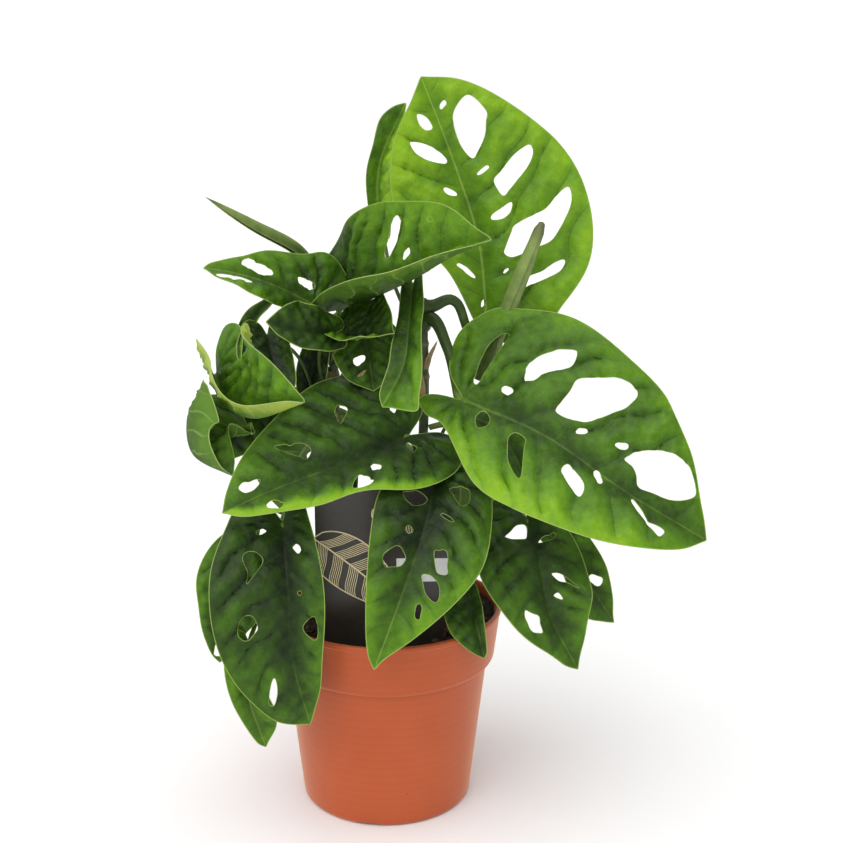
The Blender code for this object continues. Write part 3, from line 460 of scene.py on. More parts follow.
class Blade:
    """A leaf's midrib and the curved sheet around it, measured (across, along) from the petiole."""

    def __init__(self, spec):
        self.spec = spec
        self.line = smooth_line(spec["spine"], 10)
        self.along = run_of(self.line)
        self.length = self.along[-1]
        self.size = min(1.0, self.length / LARGE_LEAF)
        self.face = unit(spec["face"])

    def of_half(self, x, pair):
        """For each point, the left or the right one of a pair."""
        return np.where(x < 0, *pair)

    def half_width(self, x):
        return self.of_half(x, [max(widths[1:]) for widths in self.spec["halves"]])

    def on_line(self, y):
        return np.stack([np.interp(y, self.along, self.line[:, k]) for k in range(3)], -1)

    def frame(self, y):
        """Point, direction, upper-side normal and right-hand direction at y."""
        y = np.asarray(y, float)
        inside = np.clip(y, 0, self.length)
        step = 0.04 * self.length
        tangent = unit(self.on_line(np.clip(inside + step, 0, self.length))
                       - self.on_line(np.clip(inside - step, 0, self.length)))
        point = self.on_line(inside) + tangent * (y - inside)[..., None]
        normal = unit(self.face - tangent * (tangent @ self.face)[..., None])
        return point, tangent, normal, np.cross(tangent, normal)

    def at(self, x, y):
        """The place of (across, along), folded and curled about the midrib."""
        x = np.asarray(x, float)
        point, tangent, normal, right = self.frame(y)
        side = np.where(x < 0, -1.0, 1.0)
        d = np.abs(x)
        fold = np.radians(self.of_half(x, self.spec["fold"]))
        k = np.radians(self.of_half(x, self.spec["curl"])) / (0.36 * self.length)
        k = np.where(np.abs(k) < 1e-6, 1e-6, k)
        out = (np.sin(fold + k * d) - np.sin(fold)) / k
        up = (np.cos(fold) - np.cos(fold + k * d)) / k
        return point + right * (side * out)[..., None] + normal * up[..., None]


def hole_outline(hole, seed):
    """A rounded loop through the hole's points, or an irregular one along its line."""
    if isinstance(hole, list):
        return closed_line(hole, 12)
    x1, y1, x2, y2, width = hole
    mid = np.array([x1 + x2, y1 + y2]) / 2
    axis = np.array([x2 - x1, y2 - y1]) / 2
    cross = unit(np.array([-axis[1], axis[0]])) * width / 2
    a, b, c, d = np.random.default_rng(seed).uniform(0, TURN, 4)
    t = np.linspace(0, TURN, 120, endpoint=False)
    u, v = np.cos(t), np.sin(t)
    v = np.sign(v) * np.abs(v) ** 0.85
    v = v * (1 + 0.10 * np.sin(2 * t + a) + 0.07 * np.sin(3 * t + b) + 0.05 * np.sin(4 * t + c)
             + 0.03 * np.sin(6 * t + d)) * (1 + 0.12 * u)
    return mid + (u * (1 + 0.04 * np.sin(3 * t + c)))[:, None] * axis + v[:, None] * cross


def inside_loop(points, loop):
    """Which of the points lie inside the closed loop."""
    x, y = points[:, 0][:, None], points[:, 1][:, None]
    a, b = loop, np.roll(loop, -1, axis=0)
    crosses = (a[:, 1] > y) != (b[:, 1] > y)
    rise = np.where(b[:, 1] == a[:, 1], 1e-9, b[:, 1] - a[:, 1])
    at = a[:, 0] + (y - a[:, 1]) * (b[:, 0] - a[:, 0]) / rise
    return np.count_nonzero(crosses & (x < at), axis=1) % 2 == 1


def distance_to(points, loops):
    """Distance from each point to the nearest point of the loops."""
    cloud, batch = np.vstack(loops), 200
    best = np.full(len(points), 1e9)
    for k in range(0, len(cloud), batch):
        d = np.linalg.norm(points[:, None] - cloud[None, k:k + batch], axis=2)
        best = np.minimum(best, d.min(axis=1))
    return best


def inner_ring(loop, gap, inwards):
    """Points `gap` inside a closed loop, where they keep that distance from all of it."""
    way = unit(np.roll(loop, -1, axis=0) - np.roll(loop, 1, axis=0))
    turn = np.stack([-way[:, 1], way[:, 0]], 1)
    area = np.sum(loop[:, 0] * np.roll(loop[:, 1], -1) - np.roll(loop[:, 0], -1) * loop[:, 1])
    p = loop + turn * gap * (1 if (area > 0) == inwards else -1)
    return p[distance_to(p, [loop]) > 0.9 * gap]


def flat_blade(blade, seed):
    """The blade laid flat: points, triangles and the loops of its margin and holes."""
    spec, length = blade.spec, blade.length
    fine = 1.7 if length > 80 else 1.4 if length > 55 else 1.1
    rim_step, rib = 0.62 * fine, 1.5
    left, right = (even(half_outline(w, length) * [side, 1], rim_step)
                   for w, side in zip(spec["halves"], (-1, 1)))
    rim = np.vstack([right, left[::-1][1:-1]])
    holes = []
    for i, hole in enumerate(spec["holes"]):
        loop = hole_outline(hole, seed * 100 + i)
        holes.append(even(np.vstack([loop, loop[:1]]), rim_step * 0.9)[:-1])
    loops = [rim] + holes
    edges, start = [], 0
    for loop in loops:
        n = len(loop)
        edges += [(start + i, start + (i + 1) % n) for i in range(n)]
        start += n

    def on_blade(points):
        keep = inside_loop(points, rim)
        for hole in holes:
            keep &= ~inside_loop(points, hole)
        return keep

    rings = [inner_ring(rim, 0.55, True)] + [inner_ring(h, 0.5, False) for h in holes]
    n = int(length / (0.8 * fine))
    ribs = [np.stack([np.full(n, x), np.linspace(0.6, length - 2, n)], 1) for x in (-rib, -0.7, 0, 0.7, rib)]
    wide = max(blade.half_width(np.array([-1, 1]))) + 25
    grid = np.array([(x + (0.5 * fine if j % 2 else 0), y)
                     for j, y in enumerate(np.arange(-wide, length + 3, fine * 0.87))
                     for x in np.arange(-wide, wide, fine)])
    grid = grid[np.abs(grid[:, 0]) > rib + 0.5 * fine]
    clouds = loops[:]
    for cloud, gap in [(np.vstack(rings), 0.42), (np.vstack(ribs), 1.0), (grid, 0.55 + 0.55 * fine)]:
        cloud = cloud[on_blade(cloud)]
        clouds.append(cloud[distance_to(cloud, loops) > gap])
    verts, _, faces, _, _, _ = delaunay_2d_cdt([tuple(p) for p in np.vstack(clouds)], edges, [], 0, 1e-5)
    flat = np.array([tuple(v) for v in verts])
    faces = np.array([tuple(f) for f in faces])
    faces = faces[on_blade(flat[faces].mean(axis=1))]
    used = np.unique(faces)
    index = np.full(len(flat), -1)
    index[used] = np.arange(len(used))
    return flat[used], index[faces], rim, holes


def side_veins(blade, x, y):
    """Where each point lies between the side veins, which leave the midrib and bend to the tip.

    Returns the distance to the nearest side vein in mm, how far between two veins the
    point is (0 on a vein, 1 half way), the number of the cell between them, and the
    distance again with a sign that changes at each vein."""
    length, ax = blade.length, np.abs(x)
    spacing = length / (6.5 if length > 80 else 5.0)
    lean, bend = 0.42, 0.42 / np.maximum(blade.half_width(x), 8)
    slope = lean * ax + bend * ax ** 2
    q = y - lean * ax - bend * ax ** 2
    turn = np.arctan2(ax, y) - np.arctan2(ax, slope + 1e-9)
    f = np.where(q >= 0, q / spacing, -turn / 0.5) + np.where(x < 0, 0.45, 0.0) * smoothstep(q, 0, spacing)
    f = f + 0.11 * ripple(np.stack([x, y], 1), int(length * 10) % 1000, 26) * smoothstep(ax, 0, 12)
    scale = np.where(q >= 0, spacing * 0.9, 0.5 * np.hypot(x, y))
    off = np.abs(f - np.round(f))
    return off * scale, 2 * off, np.floor(f) + np.where(x < 0, 100, 0), np.sin(PI * f) * scale / PI


def vertex_normals(points, faces):
    a, b, c = (points[faces[:, k]] for k in range(3))
    normals, out = np.cross(b - a, c - a), np.zeros_like(points)
    for k in range(3):
        np.add.at(out, faces[:, k], normals)
    return unit(out)


def build_blade(blade, seed, mats):
    """The blade as a closed sheet, with its veins, quilting and waves in the mesh."""
    spec, length, size = blade.spec, blade.length, blade.size
    look = spec["look"]
    flat, faces, rim, holes = flat_blade(blade, seed)
    x, y = flat[:, 0], flat[:, 1]
    ax, wide = np.abs(x), blade.half_width(x)
    to_rim = distance_to(flat, [rim])
    to_hole = distance_to(flat, holes) if holes else np.full(len(flat), 99.0)
    vein, between, cell, across = side_veins(blade, x, y)
    # how far the blade stands up from its smooth sheet
    open_field = smoothstep(ax, 1.0, 11 * size) * smoothstep(to_rim, 0, 7 * size)
    puff = np.sin(between * PI / 2) ** 1.1
    relief = QUILT * size * look["puff"] * puff * open_field
    relief -= CREASE * size * bell(vein, 1.1) * smoothstep(ax, 0, 3) * smoothstep(to_rim, 0, 5)
    relief -= TROUGH * size * bell(ax, 4.5 * size) + 0.35 * size * bell(ax, 0.9)
    relief += 0.42 * ripple(flat, seed + 7, 9 * size + 2) * open_field
    relief += 0.20 * ripple(flat, seed + 8, 4.5) * open_field
    relief -= 0.28 * size * np.cos(3 * PI * between) * open_field * smoothstep(ax, 3, 12)
    relief -= 0.35 * bell(to_hole, 2.2)
    relief += look["wave"] * (ax / wide) ** 2 * ripple(np.stack([y, 0.3 * x], 1), seed + 9, 0.55 * length)
    surface = blade.at(x, y)
    surface = surface + vertex_normals(surface, faces) * relief[:, None]
    normals = vertex_normals(surface, faces)
    thick = RIM_THICK + (LEAF_THICK - RIM_THICK) * smoothstep(np.minimum(to_rim, to_hole), 0, THINS_OVER)
    rib = RIB * np.clip(1.15 - y / length, 0.1, 1) * bell(ax, 1.15) * smoothstep(y, -1.5, 3)
    rib += 0.32 * size * bell(vein, 0.8) * smoothstep(ax, 0, 2) * smoothstep(to_rim, 0, 6)
    top = surface + normals * (thick / 2)[:, None]
    bottom = surface - normals * (thick / 2 + rib)[:, None]
    n = len(flat)
    known = set(map(tuple, np.vstack([faces[:, [0, 1]], faces[:, [1, 2]], faces[:, [2, 0]]])))
    sides = [(b, a, a + n, b + n) for a, b in sorted((a, b) for a, b in known if (b, a) not in known)]
    all_faces = [tuple(f) for f in faces] + [(f[0] + n, f[2] + n, f[1] + n) for f in faces] + sides
    kinds = [0] * len(faces) + [1] * len(faces) + [2] * len(sides)
    name = spec["name"]
    obj = new_object("blade_" + name, np.vstack([top, bottom]), all_faces, mats, kinds,
                     slot="leaf_lime" if name == "top" else "leaf_green", node="leaf_" + name)
    midrib = np.clip(ax / (5 * (0.45 + 0.75 * np.clip(1 - y / length, 0, 1))), 0, 1)
    margin = np.clip(np.minimum(to_rim, to_hole + 0.2) / 4, 0, 1)
    seen = smoothstep(ax, 0.5, 3) * (0.4 + 0.6 * smoothstep(to_rim, 0, 8))
    paint(obj, "veins", *map(both, (midrib, np.clip(0.5 + across / 8, 0, 1), margin, seen)))
    tones = np.random.default_rng(seed).uniform(-1, 1, 400)
    # painted light and shade: the leaf's painted level and painted light towards its tip, sides and margin from
    # LOOK, painted shade near the stalk and along the midrib, and a painted highlight on each puffed quilt; the
    # ripples and cell tones are random tone
    light = (look["light"] + look["tip"] * smoothstep(y / length, 0.15, 1.0)
             + look["right"] * smoothstep(x / wide, 0, 0.9) + look["left"] * smoothstep(-x / wide, 0, 0.9)
             + look["edge"] * (1 - smoothstep(to_rim, 0, 16 * size))
             - look["base"] * (1 - smoothstep(y / length, 0.05, 0.4))
             + look["lip"] * (1 - smoothstep(to_rim, 1.5, 7)) * (x < 0) * smoothstep(y, 0, 12)
             + 0.16 * (puff - 0.5) * open_field - 0.12 * bell(ax, 9 * size)
             + 0.05 * ripple(flat, seed + 3, 22) + 0.035 * ripple(flat, seed + 4, 7)
             + 0.03 * tones[(cell + 50).astype(int) % 400] * open_field)
    dry = np.clip(look["dry"] * smoothstep(y / length, 0.9, 1.0), 0, 1)
    below = look["under"] * (1 - 0.45 * smoothstep(to_rim, 4, 15))
    # the tone holds the painted light and shade, the dry tip and how pale the underside is
    paint(obj, "tone", *map(both, (light, dry, below)))


# ---------------------------------------------------------------- stalks, stems, rolled leaves

def stem_at(name, height):
    """The place on a stem at a height."""
    line = smooth_line(STEMS[name][1], 8)
    return np.array([np.interp(height, line[:, 2], line[:, k]) for k in range(2)] + [height])


def build_stalk(blade, mat):
    """The leaf stalk: a sheathed foot on the stem, a slim stalk, a knee and the underside of the midrib."""
    spec = blade.spec
    necks = np.atleast_2d(np.array(spec["neck"], float))
    slim = np.clip(blade.length / 100, 0.62, 1.12)
    big = slim * spec["look"]["stalk"]
    root = stem_at(*spec["stem"])
    aim = unit((necks[0] - root) * [1, 1, 0])
    _, tangent, normal, right = blade.frame(np.array(2.5))
    if spec["from_edge"]:
        end = blade.at(0.0, np.array(0.0)) - tangent * 2.6 - right * 1.2
        points = [root, root + aim * 4.5, *necks, end]
    else:
        end = blade.at(0.0, np.array(2.5)) - normal * 0.9
        points = [root + np.array([0, 0, -4.0]), root + aim * 5 + np.array([0, 0, 0.6]), *necks,
                  end - normal * 3.2 - tangent * 2.5, end]
    line = even(flowing_line(points, 10), 1.6)
    ys = np.arange(4.0, blade.length * 0.45, 2.0)
    deep = 1.45 * blade.size + 0.1 + np.interp(ys, [4, 9, ys[-1]], [0.9 * slim, 0.62 * slim, 0.3])
    under = blade.at(np.zeros(len(ys)), ys) - blade.frame(ys)[2] * deep[:, None]
    stalk_points = len(line)
    line = np.vstack([line, under])
    s = run_of(line)
    knee = s[stalk_points - 1]
    r = 1.45 * big + 1.1 * big * np.exp(-s / 9) + 0.42 * big * bell(s - knee + 8, 4.5)
    r = np.where(s > knee - 1, np.interp(s, [knee - 1, knee + 4, s[-1]], [big, 0.62 * slim, 0.3]), r)
    sides = 14
    groove = 1 - 0.16 * bell(circle(sides) - PI, 0.5)
    tone = 0.30 + 0.28 * smoothstep(s, 0, knee) + 0.25 * bell(s - knee + 6, 7)
    tube("stalk_" + spec["name"], line, r[:, None] * groove, sides, mat, "petiole_green", tone,
         "petiole_" + spec["name"])


def build_stem(name, radius, line, mat):
    """A stem with a ring at each node."""
    path = even(smooth_line(line, 10), 1.3)
    z, spacing, sides = path[:, 2], 17.0, 20
    phase = (z - SOIL_TOP) / spacing
    off = (phase - np.round(phase)) * spacing
    r = np.interp(z, [z[0], z[-1]], [radius, 0.8 * radius])
    r = r * (1 + 0.20 * bell(off, 1.1) - 0.06 * bell(off - 2.4, 1.4))
    a = circle(sides)
    ridge = 1 + 0.04 * np.cos(5 * a)[None, :] + 0.02 * np.sin(3 * a[None, :] + 0.15 * z[:, None])
    tone = 0.25 + 0.2 * smoothstep(z, SOIL_TOP, 250) + 0.5 * bell(off, 1.0)
    tube("vine_" + name, path, r[:, None] * ridge, sides, mat, "petiole_green", tone, "stem_" + name)


def build_roll(name, radius, turns, open_end, line, mats):
    """A leaf still rolled up: a sheet wound round its own axis, wider in the middle."""
    path = even(smooth_line(line, 14), 1.2)
    n, cols, thick = len(path), 34, 0.42
    t, u = np.linspace(0, 1, n), np.linspace(0, 1, cols)
    if open_end:
        r = radius * (0.62 + 0.42 * np.sin(PI * np.clip(0.15 + 0.7 * t, 0, 1)))
        r = r * (1 - 0.16 * smoothstep(t, 0.70, 0.9) - 0.30 * smoothstep(t, 0.95, 1.0))
    else:
        r = radius * np.maximum(0.07, np.sin(PI * np.clip(0.16 + 0.84 * t, 0, 1)) ** 0.8)
    outer, inner = [], []
    for i, (tangent, side, other) in enumerate(turned_frames(path, (0.1, 0.9, 0.2))):
        a = TURN * turns * u - 0.9 + 0.5 * t[i]
        grow = 0.60 + 0.40 * u + 0.05 * smoothstep(u, 0.85, 1) * math.sin(9 * t[i])
        ring = (np.cos(a) * grow)[:, None] * side + (np.sin(a) * grow)[:, None] * other
        slant = smoothstep(t[i], 0.8, 1.0) * (0.45 if open_end else 0.0)
        ring += (slant * (1.2 * np.cos(a - 1.2) - 0.9 * smoothstep(u, 0.8, 1)))[:, None] * tangent
        outer.append(path[i] + ring * r[i])
        inner.append(path[i] + ring * max(r[i] - thick, 0.3 * r[i]))
    half = n * cols
    sheet = net(n, cols, closed=False)
    border = [(i * cols, (i + 1) * cols) for i in range(n - 1)]
    border += [((n - 1) * cols + k, (n - 1) * cols + k + 1) for k in range(cols - 1)]
    border += [((i + 1) * cols + cols - 1, i * cols + cols - 1) for i in range(n - 1)]
    border += [(k + 1, k) for k in range(cols - 1)]
    faces = sheet + backs(sheet, half) + [(a, b, b + half, a + half) for a, b in border]
    kinds = [0] * (2 * len(sheet)) + [1] * len(border)
    obj = new_object("rolled_leaf_" + name, np.vstack(outer + inner), faces, mats, kinds, slot="leaf_lime",
                     node="new_leaf_" + name)
    paint(obj, "tone", both(np.repeat(smoothstep(t, 0.84, 1.0), cols)), both(np.repeat(t, cols)))


def build_sheath(name, seed, base, up, out, length, width, curl, mat):
    """A dry papery flap left on the stem: a narrow curled sheet with a ragged end."""
    rows, cols, cup, half_thick = 16, 9, 1.1, 0.11
    up, out = unit(up), unit(out)
    across = unit(np.cross(up, out))
    t, u = np.linspace(0, 1, rows)[:, None], np.linspace(-1, 1, cols)[None, :]
    tt, uu = (np.broadcast_to(v, (rows, cols)).ravel() for v in (t, u))
    wide = width / 2 * (1 - t ** 2 * 0.85) * (0.8 + 0.2 * np.sin(3 * t))
    x = wide * np.sin(cup * u) / math.sin(cup)
    ragged = 0.6 * ripple(np.stack([uu * 3, tt * 4], 1), seed, 2.0).reshape(rows, cols) * t
    p = (np.asarray(base, float) + across * x[..., None]
         + out * (wide * (np.cos(cup * u) - 1) + curl * t ** 2 + ragged)[..., None]
         + up * (length * t + 1.2 * ragged)[..., None]).reshape(-1, 3)
    sheet = net(rows, cols, closed=False)
    quads = np.array(sheet)
    normals = vertex_normals(p, np.vstack([quads[:, [0, 1, 2]], quads[:, [0, 2, 3]]])) * half_thick
    n = len(p)
    loop = (list(range(cols)) + [i * cols + cols - 1 for i in range(1, rows)]
            + [(rows - 1) * cols + k for k in range(cols - 2, -1, -1)]
            + [i * cols for i in range(rows - 2, 0, -1)])
    faces = sheet + backs(sheet, n) + [(b, a, a + n, b + n) for a, b in zip(loop, loop[1:] + loop[:1])]
    obj = new_object(name, np.vstack([p + normals, p - normals]), faces, [mat], slot="sheath_dry")
    paint(obj, "tone", both(tt))


def build_root(name, radius, points, mat):
    path = even(flowing_line(points, 8), 1.2)
    r = radius * (1 - 0.55 * np.linspace(0, 1, len(path)) ** 2) * (1 + 0.08 * ripple(path, 5, 3))
    tube(name, path, r, 10, mat, "sheath_dry", np.full(len(path), 0.35))


# ---------------------------------------------------------------- pot and soil

def wall_at(z, inset=0.0):
    return POT_BASE_RADIUS + (POT_NECK_RADIUS - POT_BASE_RADIUS) * z / POT_LEDGE - inset


def rounded(points, rounds, steps=5):
    """An open profile with the corners that `rounds` gives a radius for rounded."""
    out = []
    for i, point in enumerate(points):
        b = np.array(point, float)
        if i not in rounds:
            out.append(b)
            continue
        a, c = np.array(points[i - 1], float), np.array(points[i + 1], float)
        r = min(rounds[i], 0.45 * np.linalg.norm(a - b), 0.45 * np.linalg.norm(c - b))
        p, q = b + unit(a - b) * r, b + unit(c - b) * r
        out += [(1 - t) ** 2 * p + 2 * t * (1 - t) * b + t * t * q for t in np.arange(steps + 1) / steps]
    return np.array(out)


def build_pot(mat):
    """One moulding turned about Z: foot with notches, wall, ledge, rim band and pierced floor."""
    base, band, rim, top = POT_BASE_RADIUS, POT_BAND_RADIUS, POT_TOP_RADIUS, POT_HEIGHT
    outside = [(0, 0), (8, 0), (18, 0), (30, 0), (base - 6, 0), (base, 0), (wall_at(12), 12),
               (wall_at(30), 30), (wall_at(55), 55), (wall_at(POT_LEDGE - 1.5), POT_LEDGE - 1.5),
               (band - 0.9, POT_LEDGE - 0.3), (band + 0.05, POT_LEDGE + 1.2), (band + 1.4, POT_LEDGE + 12),
               (rim - 0.55, top - 3.0), (rim, top - 2.2), (rim, top), (rim - 2.5, top)]
    inside = [(rim - 2.9, top - 1.6), (band - 1.6, POT_LEDGE + 1.5), (wall_at(75, POT_WALL), POT_LEDGE - 3),
              (wall_at(40, POT_WALL), 40), (wall_at(6, POT_WALL), 6.0), (wall_at(3, POT_WALL) - 3, POT_FLOOR),
              (30, POT_FLOOR), (18, POT_FLOOR), (8, POT_FLOOR), (0, POT_FLOOR)]
    ring = rounded(outside + inside, {5: 4.0, 9: 0.5, 10: 0.5, 11: 0.8, 13: 0.4, 14: 0.5, 15: 0.9, 16: 0.9,
                                      17: 0.6, 21: 2.0})[1:-1]
    n, a = len(ring), circle(POT_SIDES)
    notches = [math.radians(FOOT_NOTCH_ANGLE) + j * TURN / FOOT_NOTCHES for j in range(FOOT_NOTCHES)]
    far = np.min([np.abs((a - notch + PI) % TURN - PI) for notch in notches], axis=0) * base
    lift = FOOT_NOTCH_DEPTH * (1 - smoothstep(far, FOOT_NOTCH_WIDTH / 2 - 1.2, FOOT_NOTCH_WIDTH / 2 + 0.6))
    r, z = ring[:, :1], ring[:, 1:]
    low = (z < FOOT_NOTCH_DEPTH) & (r > FOOT_NOTCH_INNER - 1) & (np.arange(n)[:, None] < n // 2)
    z = np.where(low, np.maximum(z, lift), z)
    walls = np.stack([r * np.cos(a), r * np.sin(a), z], -1).reshape(-1, 3)
    obj = new_object("nursery_pot", np.vstack([walls, [[0, 0, 0], [0, 0, POT_FLOOR]]]),
                     closed_net(n, POT_SIDES), [mat], sharp=35, slot="pot_plastic", node="pot")
    drains = bmesh.new()
    for k in range(DRAIN_COUNT):
        b = TURN * (k + 0.56) / DRAIN_COUNT
        place = Matrix.Translation((DRAIN_CIRCLE * math.cos(b) * MM, DRAIN_CIRCLE * math.sin(b) * MM, 2 * MM))
        bmesh.ops.create_cone(drains, cap_ends=True, segments=28, radius1=DRAIN_RADIUS * MM,
                              radius2=DRAIN_RADIUS * MM, depth=16 * MM, matrix=place)
    mesh = bpy.data.meshes.new("drain_cutter")
    drains.to_mesh(mesh)
    drains.free()
    tool = place_object("drain_cutter", mesh)
    mod = obj.modifiers.new("drains", "BOOLEAN")
    mod.operation, mod.object, mod.solver = "DIFFERENCE", tool, "EXACT"
    cut = bpy.data.meshes.new_from_object(obj.evaluated_get(bpy.context.evaluated_depsgraph_get()))
    obj.modifiers.clear()
    obj.data = cut
    cut.set_sharp_from_angle(angle=math.radians(35))
    bpy.data.objects.remove(tool)


def heap(x):
    """The mix is heaped up towards the right side of the pot."""
    return HEAP * smoothstep(np.asarray(x, float), 8, 40)


def build_soil(mat):
    """A rough crumbly top, with its sides inside the pot."""
    rings, sides = 46, 150
    a = circle(sides)
    radii = SOIL_RADIUS * np.arange(1, rings + 1)[:, None] / rings
    flat = np.vstack([[[0, 0]], np.stack([radii * np.cos(a), radii * np.sin(a)], -1).reshape(-1, 2)])
    z = (SOIL_TOP + 0.6 + ripple(flat, 31, 24) + 0.9 * ripple(flat, 32, 7)
         + 0.55 * np.abs(ripple(flat, 33, 3.2))
         - 1.2 * smoothstep(np.linalg.norm(flat, axis=1), 50, SOIL_RADIUS))
    z = np.minimum(z, SOIL_TOP + 4) + heap(flat[:, 0])
    foot = POT_FLOOR + 1.2
    low = [(wall_at(70, POT_WALL) - 0.4, 70.0), (wall_at(30, POT_WALL) - 0.4, 30.0),
           (wall_at(5, POT_WALL) - 1.6, foot)]
    rows = [np.stack([r * np.cos(a), r * np.sin(a), np.full(sides, height)], 1) for r, height in low]
    verts = np.vstack([np.column_stack([flat, z])] + rows + [[[0, 0, foot]]])
    total = rings + len(low)
    last = 1 + (total - 1) * sides
    faces = [tuple(v + 1 for v in f) for f in net(total, sides, flip=True)]
    for k in range(sides):
        n = (k + 1) % sides
        faces += [(0, 1 + k, 1 + n), (len(verts) - 1, last + n, last + k)]
    new_object("potting_mix", verts, faces, [mat], sharp=60, slot="soil_earth", node="soil")


def build_chips(bark_mats):
    """Loose chips of bark and crumbs of peat on the soil."""
    rng = np.random.default_rng(77)
    spread, wall = 54.0, 56.3       # how far out chips lie, and how far their corners reach
    for name, count, low, high, mat in (("bark_chips", 300, 2.2, 7.5, bark_mats[0]),
                                        ("peat_crumbs", 520, 1.0, 3.0, bark_mats[1])):
        parts, tones = [], []
        for _ in range(count):
            r, angle = spread * math.sqrt(rng.uniform(0, 1)), rng.uniform(0, TURN)
            x, y = r * math.cos(angle), r * math.sin(angle)
            size = low + (high - low) * rng.uniform(0, 1) ** 2.2
            shape = size / 2 * np.array([1, rng.uniform(0.45, 0.8), rng.uniform(0.22, 0.5)])
            bm = bmesh.new()
            bmesh.ops.create_icosphere(bm, subdivisions=1, radius=1)
            v = np.array([tuple(p.co) for p in bm.verts])
            faces = [[q.index for q in face.verts] for face in bm.faces]
            bm.free()
            v = np.sign(v) * np.abs(v) ** 0.75 * (1 + rng.uniform(-0.18, 0.18, (len(v), 1))) * shape
            turn = (Matrix.Rotation(rng.uniform(0, 6.3), 3, "Z") @ Matrix.Rotation(rng.normal(0, 0.45), 3, "X")
                    @ Matrix.Rotation(rng.normal(0, 0.35), 3, "Y"))
            ground = SOIL_TOP + 1.0 + heap(x) + ripple([[x, y]], 31, 24)[0]
            v = v @ np.array(turn).T + [x, y, ground + 0.25 * size * rng.uniform(0.3, 1.2)]
            out = np.linalg.norm(v[:, :2], axis=1)
            v[:, :2] *= np.minimum(1, wall / np.maximum(out, 1e-6))[:, None]
            parts.append((v, faces))
            tones.append(np.full(len(v), rng.uniform(0, 1)))
        chips = new_object(name, *join(parts), [mat], sharp=25, slot="soil_earth")
        paint(chips, "tone", np.concatenate(tones))


# ---------------------------------------------------------------- plant card

def on_card(points, out):
    """Places on the card's front: (right of its middle, up from its foot), raised by `out`."""
    u, v = points[:, 0], points[:, 1]
    y = -CARD_THICK / 2 - out
    return np.stack([CARD_FOOT[0] + u, CARD_FOOT[1] + y * math.cos(CARD_LEAN) - v * math.sin(CARD_LEAN),
                     CARD_FOOT[2] + v * math.cos(CARD_LEAN) + y * math.sin(CARD_LEAN)], -1)


def card_outline(w, h, r, steps):
    """A rectangle with round corners, w to each side of its middle and h high."""
    points = []
    for i, (x, z) in enumerate([(w - r, r), (w - r, h - r), (r - w, h - r), (r - w, r)]):
        for k in range(steps + 1):
            a = math.radians(-90 + 90 * i + 90 * k / steps)
            points.append((x + r * math.cos(a), z + r * math.sin(a)))
    return np.array(points)


def build_slab(name, layers, mat, slot=None, node=None):
    """A flat piece on the card, from outlines at several heights over its front."""
    n, rows = len(layers[0][0]), len(layers)
    faces = [tuple(range(n)), tuple(reversed(range((rows - 1) * n, rows * n)))] + net(rows, n, flip=True)
    verts = np.vstack([on_card(outline, out) for outline, out in layers])
    new_object(name, verts, faces, [mat], sharp=40, slot=slot, node=node)


def strip(points, width):
    """A flat raised line on the card."""
    way = unit(np.gradient(points, axis=0))
    turn = np.stack([-way[:, 1], way[:, 0]], 1) * width / 2
    rows = [on_card(points + turn, 0.07), on_card(points - turn, 0.07),
            on_card(points - turn, SUNK), on_card(points + turn, SUNK)]
    last = 4 * (len(points) - 1)
    ends = [(3, 2, 1, 0), (last, last + 1, last + 2, last + 3)]
    return np.stack(rows, 1).reshape(-1, 3), net(len(points), 4) + ends


def leaf_drawing(foot, tip, half, lines, bow):
    """A ribbed leaf in thin lines: its midrib, its two edges and bundles of side lines."""
    foot, way = np.array(foot, float), np.array(tip, float) - foot
    ahead = way / np.linalg.norm(way)
    turn = np.array([-ahead[1], ahead[0]])

    def on_midrib(t):
        return foot + way * t[:, None] + turn * (bow * np.sin(PI * t))[:, None]

    def reach(t):
        return half * np.abs(np.sin(PI * np.clip(t, 0, 1) ** 0.75)) ** 0.6

    t, u = np.linspace(0, 1, 40), np.linspace(0, 1, 16)
    parts = [strip(on_midrib(t), 0.75)]
    for side in (-1, 1):
        parts.append(strip(on_midrib(t) + turn * (side * reach(t))[:, None], 0.6))
        for k in (k for k in range(lines) if k % 9 <= 5):
            s = 0.06 + 0.84 * k / lines + 0.10 * u + 0.05 * u ** 2
            wave = 1.1 * np.sin(4.5 * u + 0.5 * (k // 9)) * u
            parts.append(strip(on_midrib(s) + turn * (side * reach(s) * u * 0.98)[:, None]
                               + ahead * wave[:, None], 0.34))
    return parts


def build_card(coated, gold, paper):
    """The card, with a plain line drawing of two leaves and a blank label. There is no lettering."""
    rim = card_outline(CARD_WIDTH / 2, CARD_HEIGHT, CARD_CORNER, 8)
    soft = card_outline(CARD_WIDTH / 2 - 0.12, CARD_HEIGHT, CARD_CORNER, 8)
    build_slab("card", [(soft, 0.0), (rim, -0.12), (rim, -CARD_THICK + 0.12), (soft, -CARD_THICK)], coated,
               "card_black", "plant_card")
    drawing = leaf_drawing((-35, 90), (8, 53), 13.5, 44, 1.0) + leaf_drawing((-6, 104), (28, 92), 7, 26, 1.5)
    new_object("card_drawing", *join(drawing), [gold], sharp=40, slot="card_gold")
    label = card_outline(13.5, 12.5, 0.6, 5) + [19.5, 66.5]
    build_slab("card_label", [(label, 0.09), (label, SUNK)], paper)


# ---------------------------------------------------------------- materials

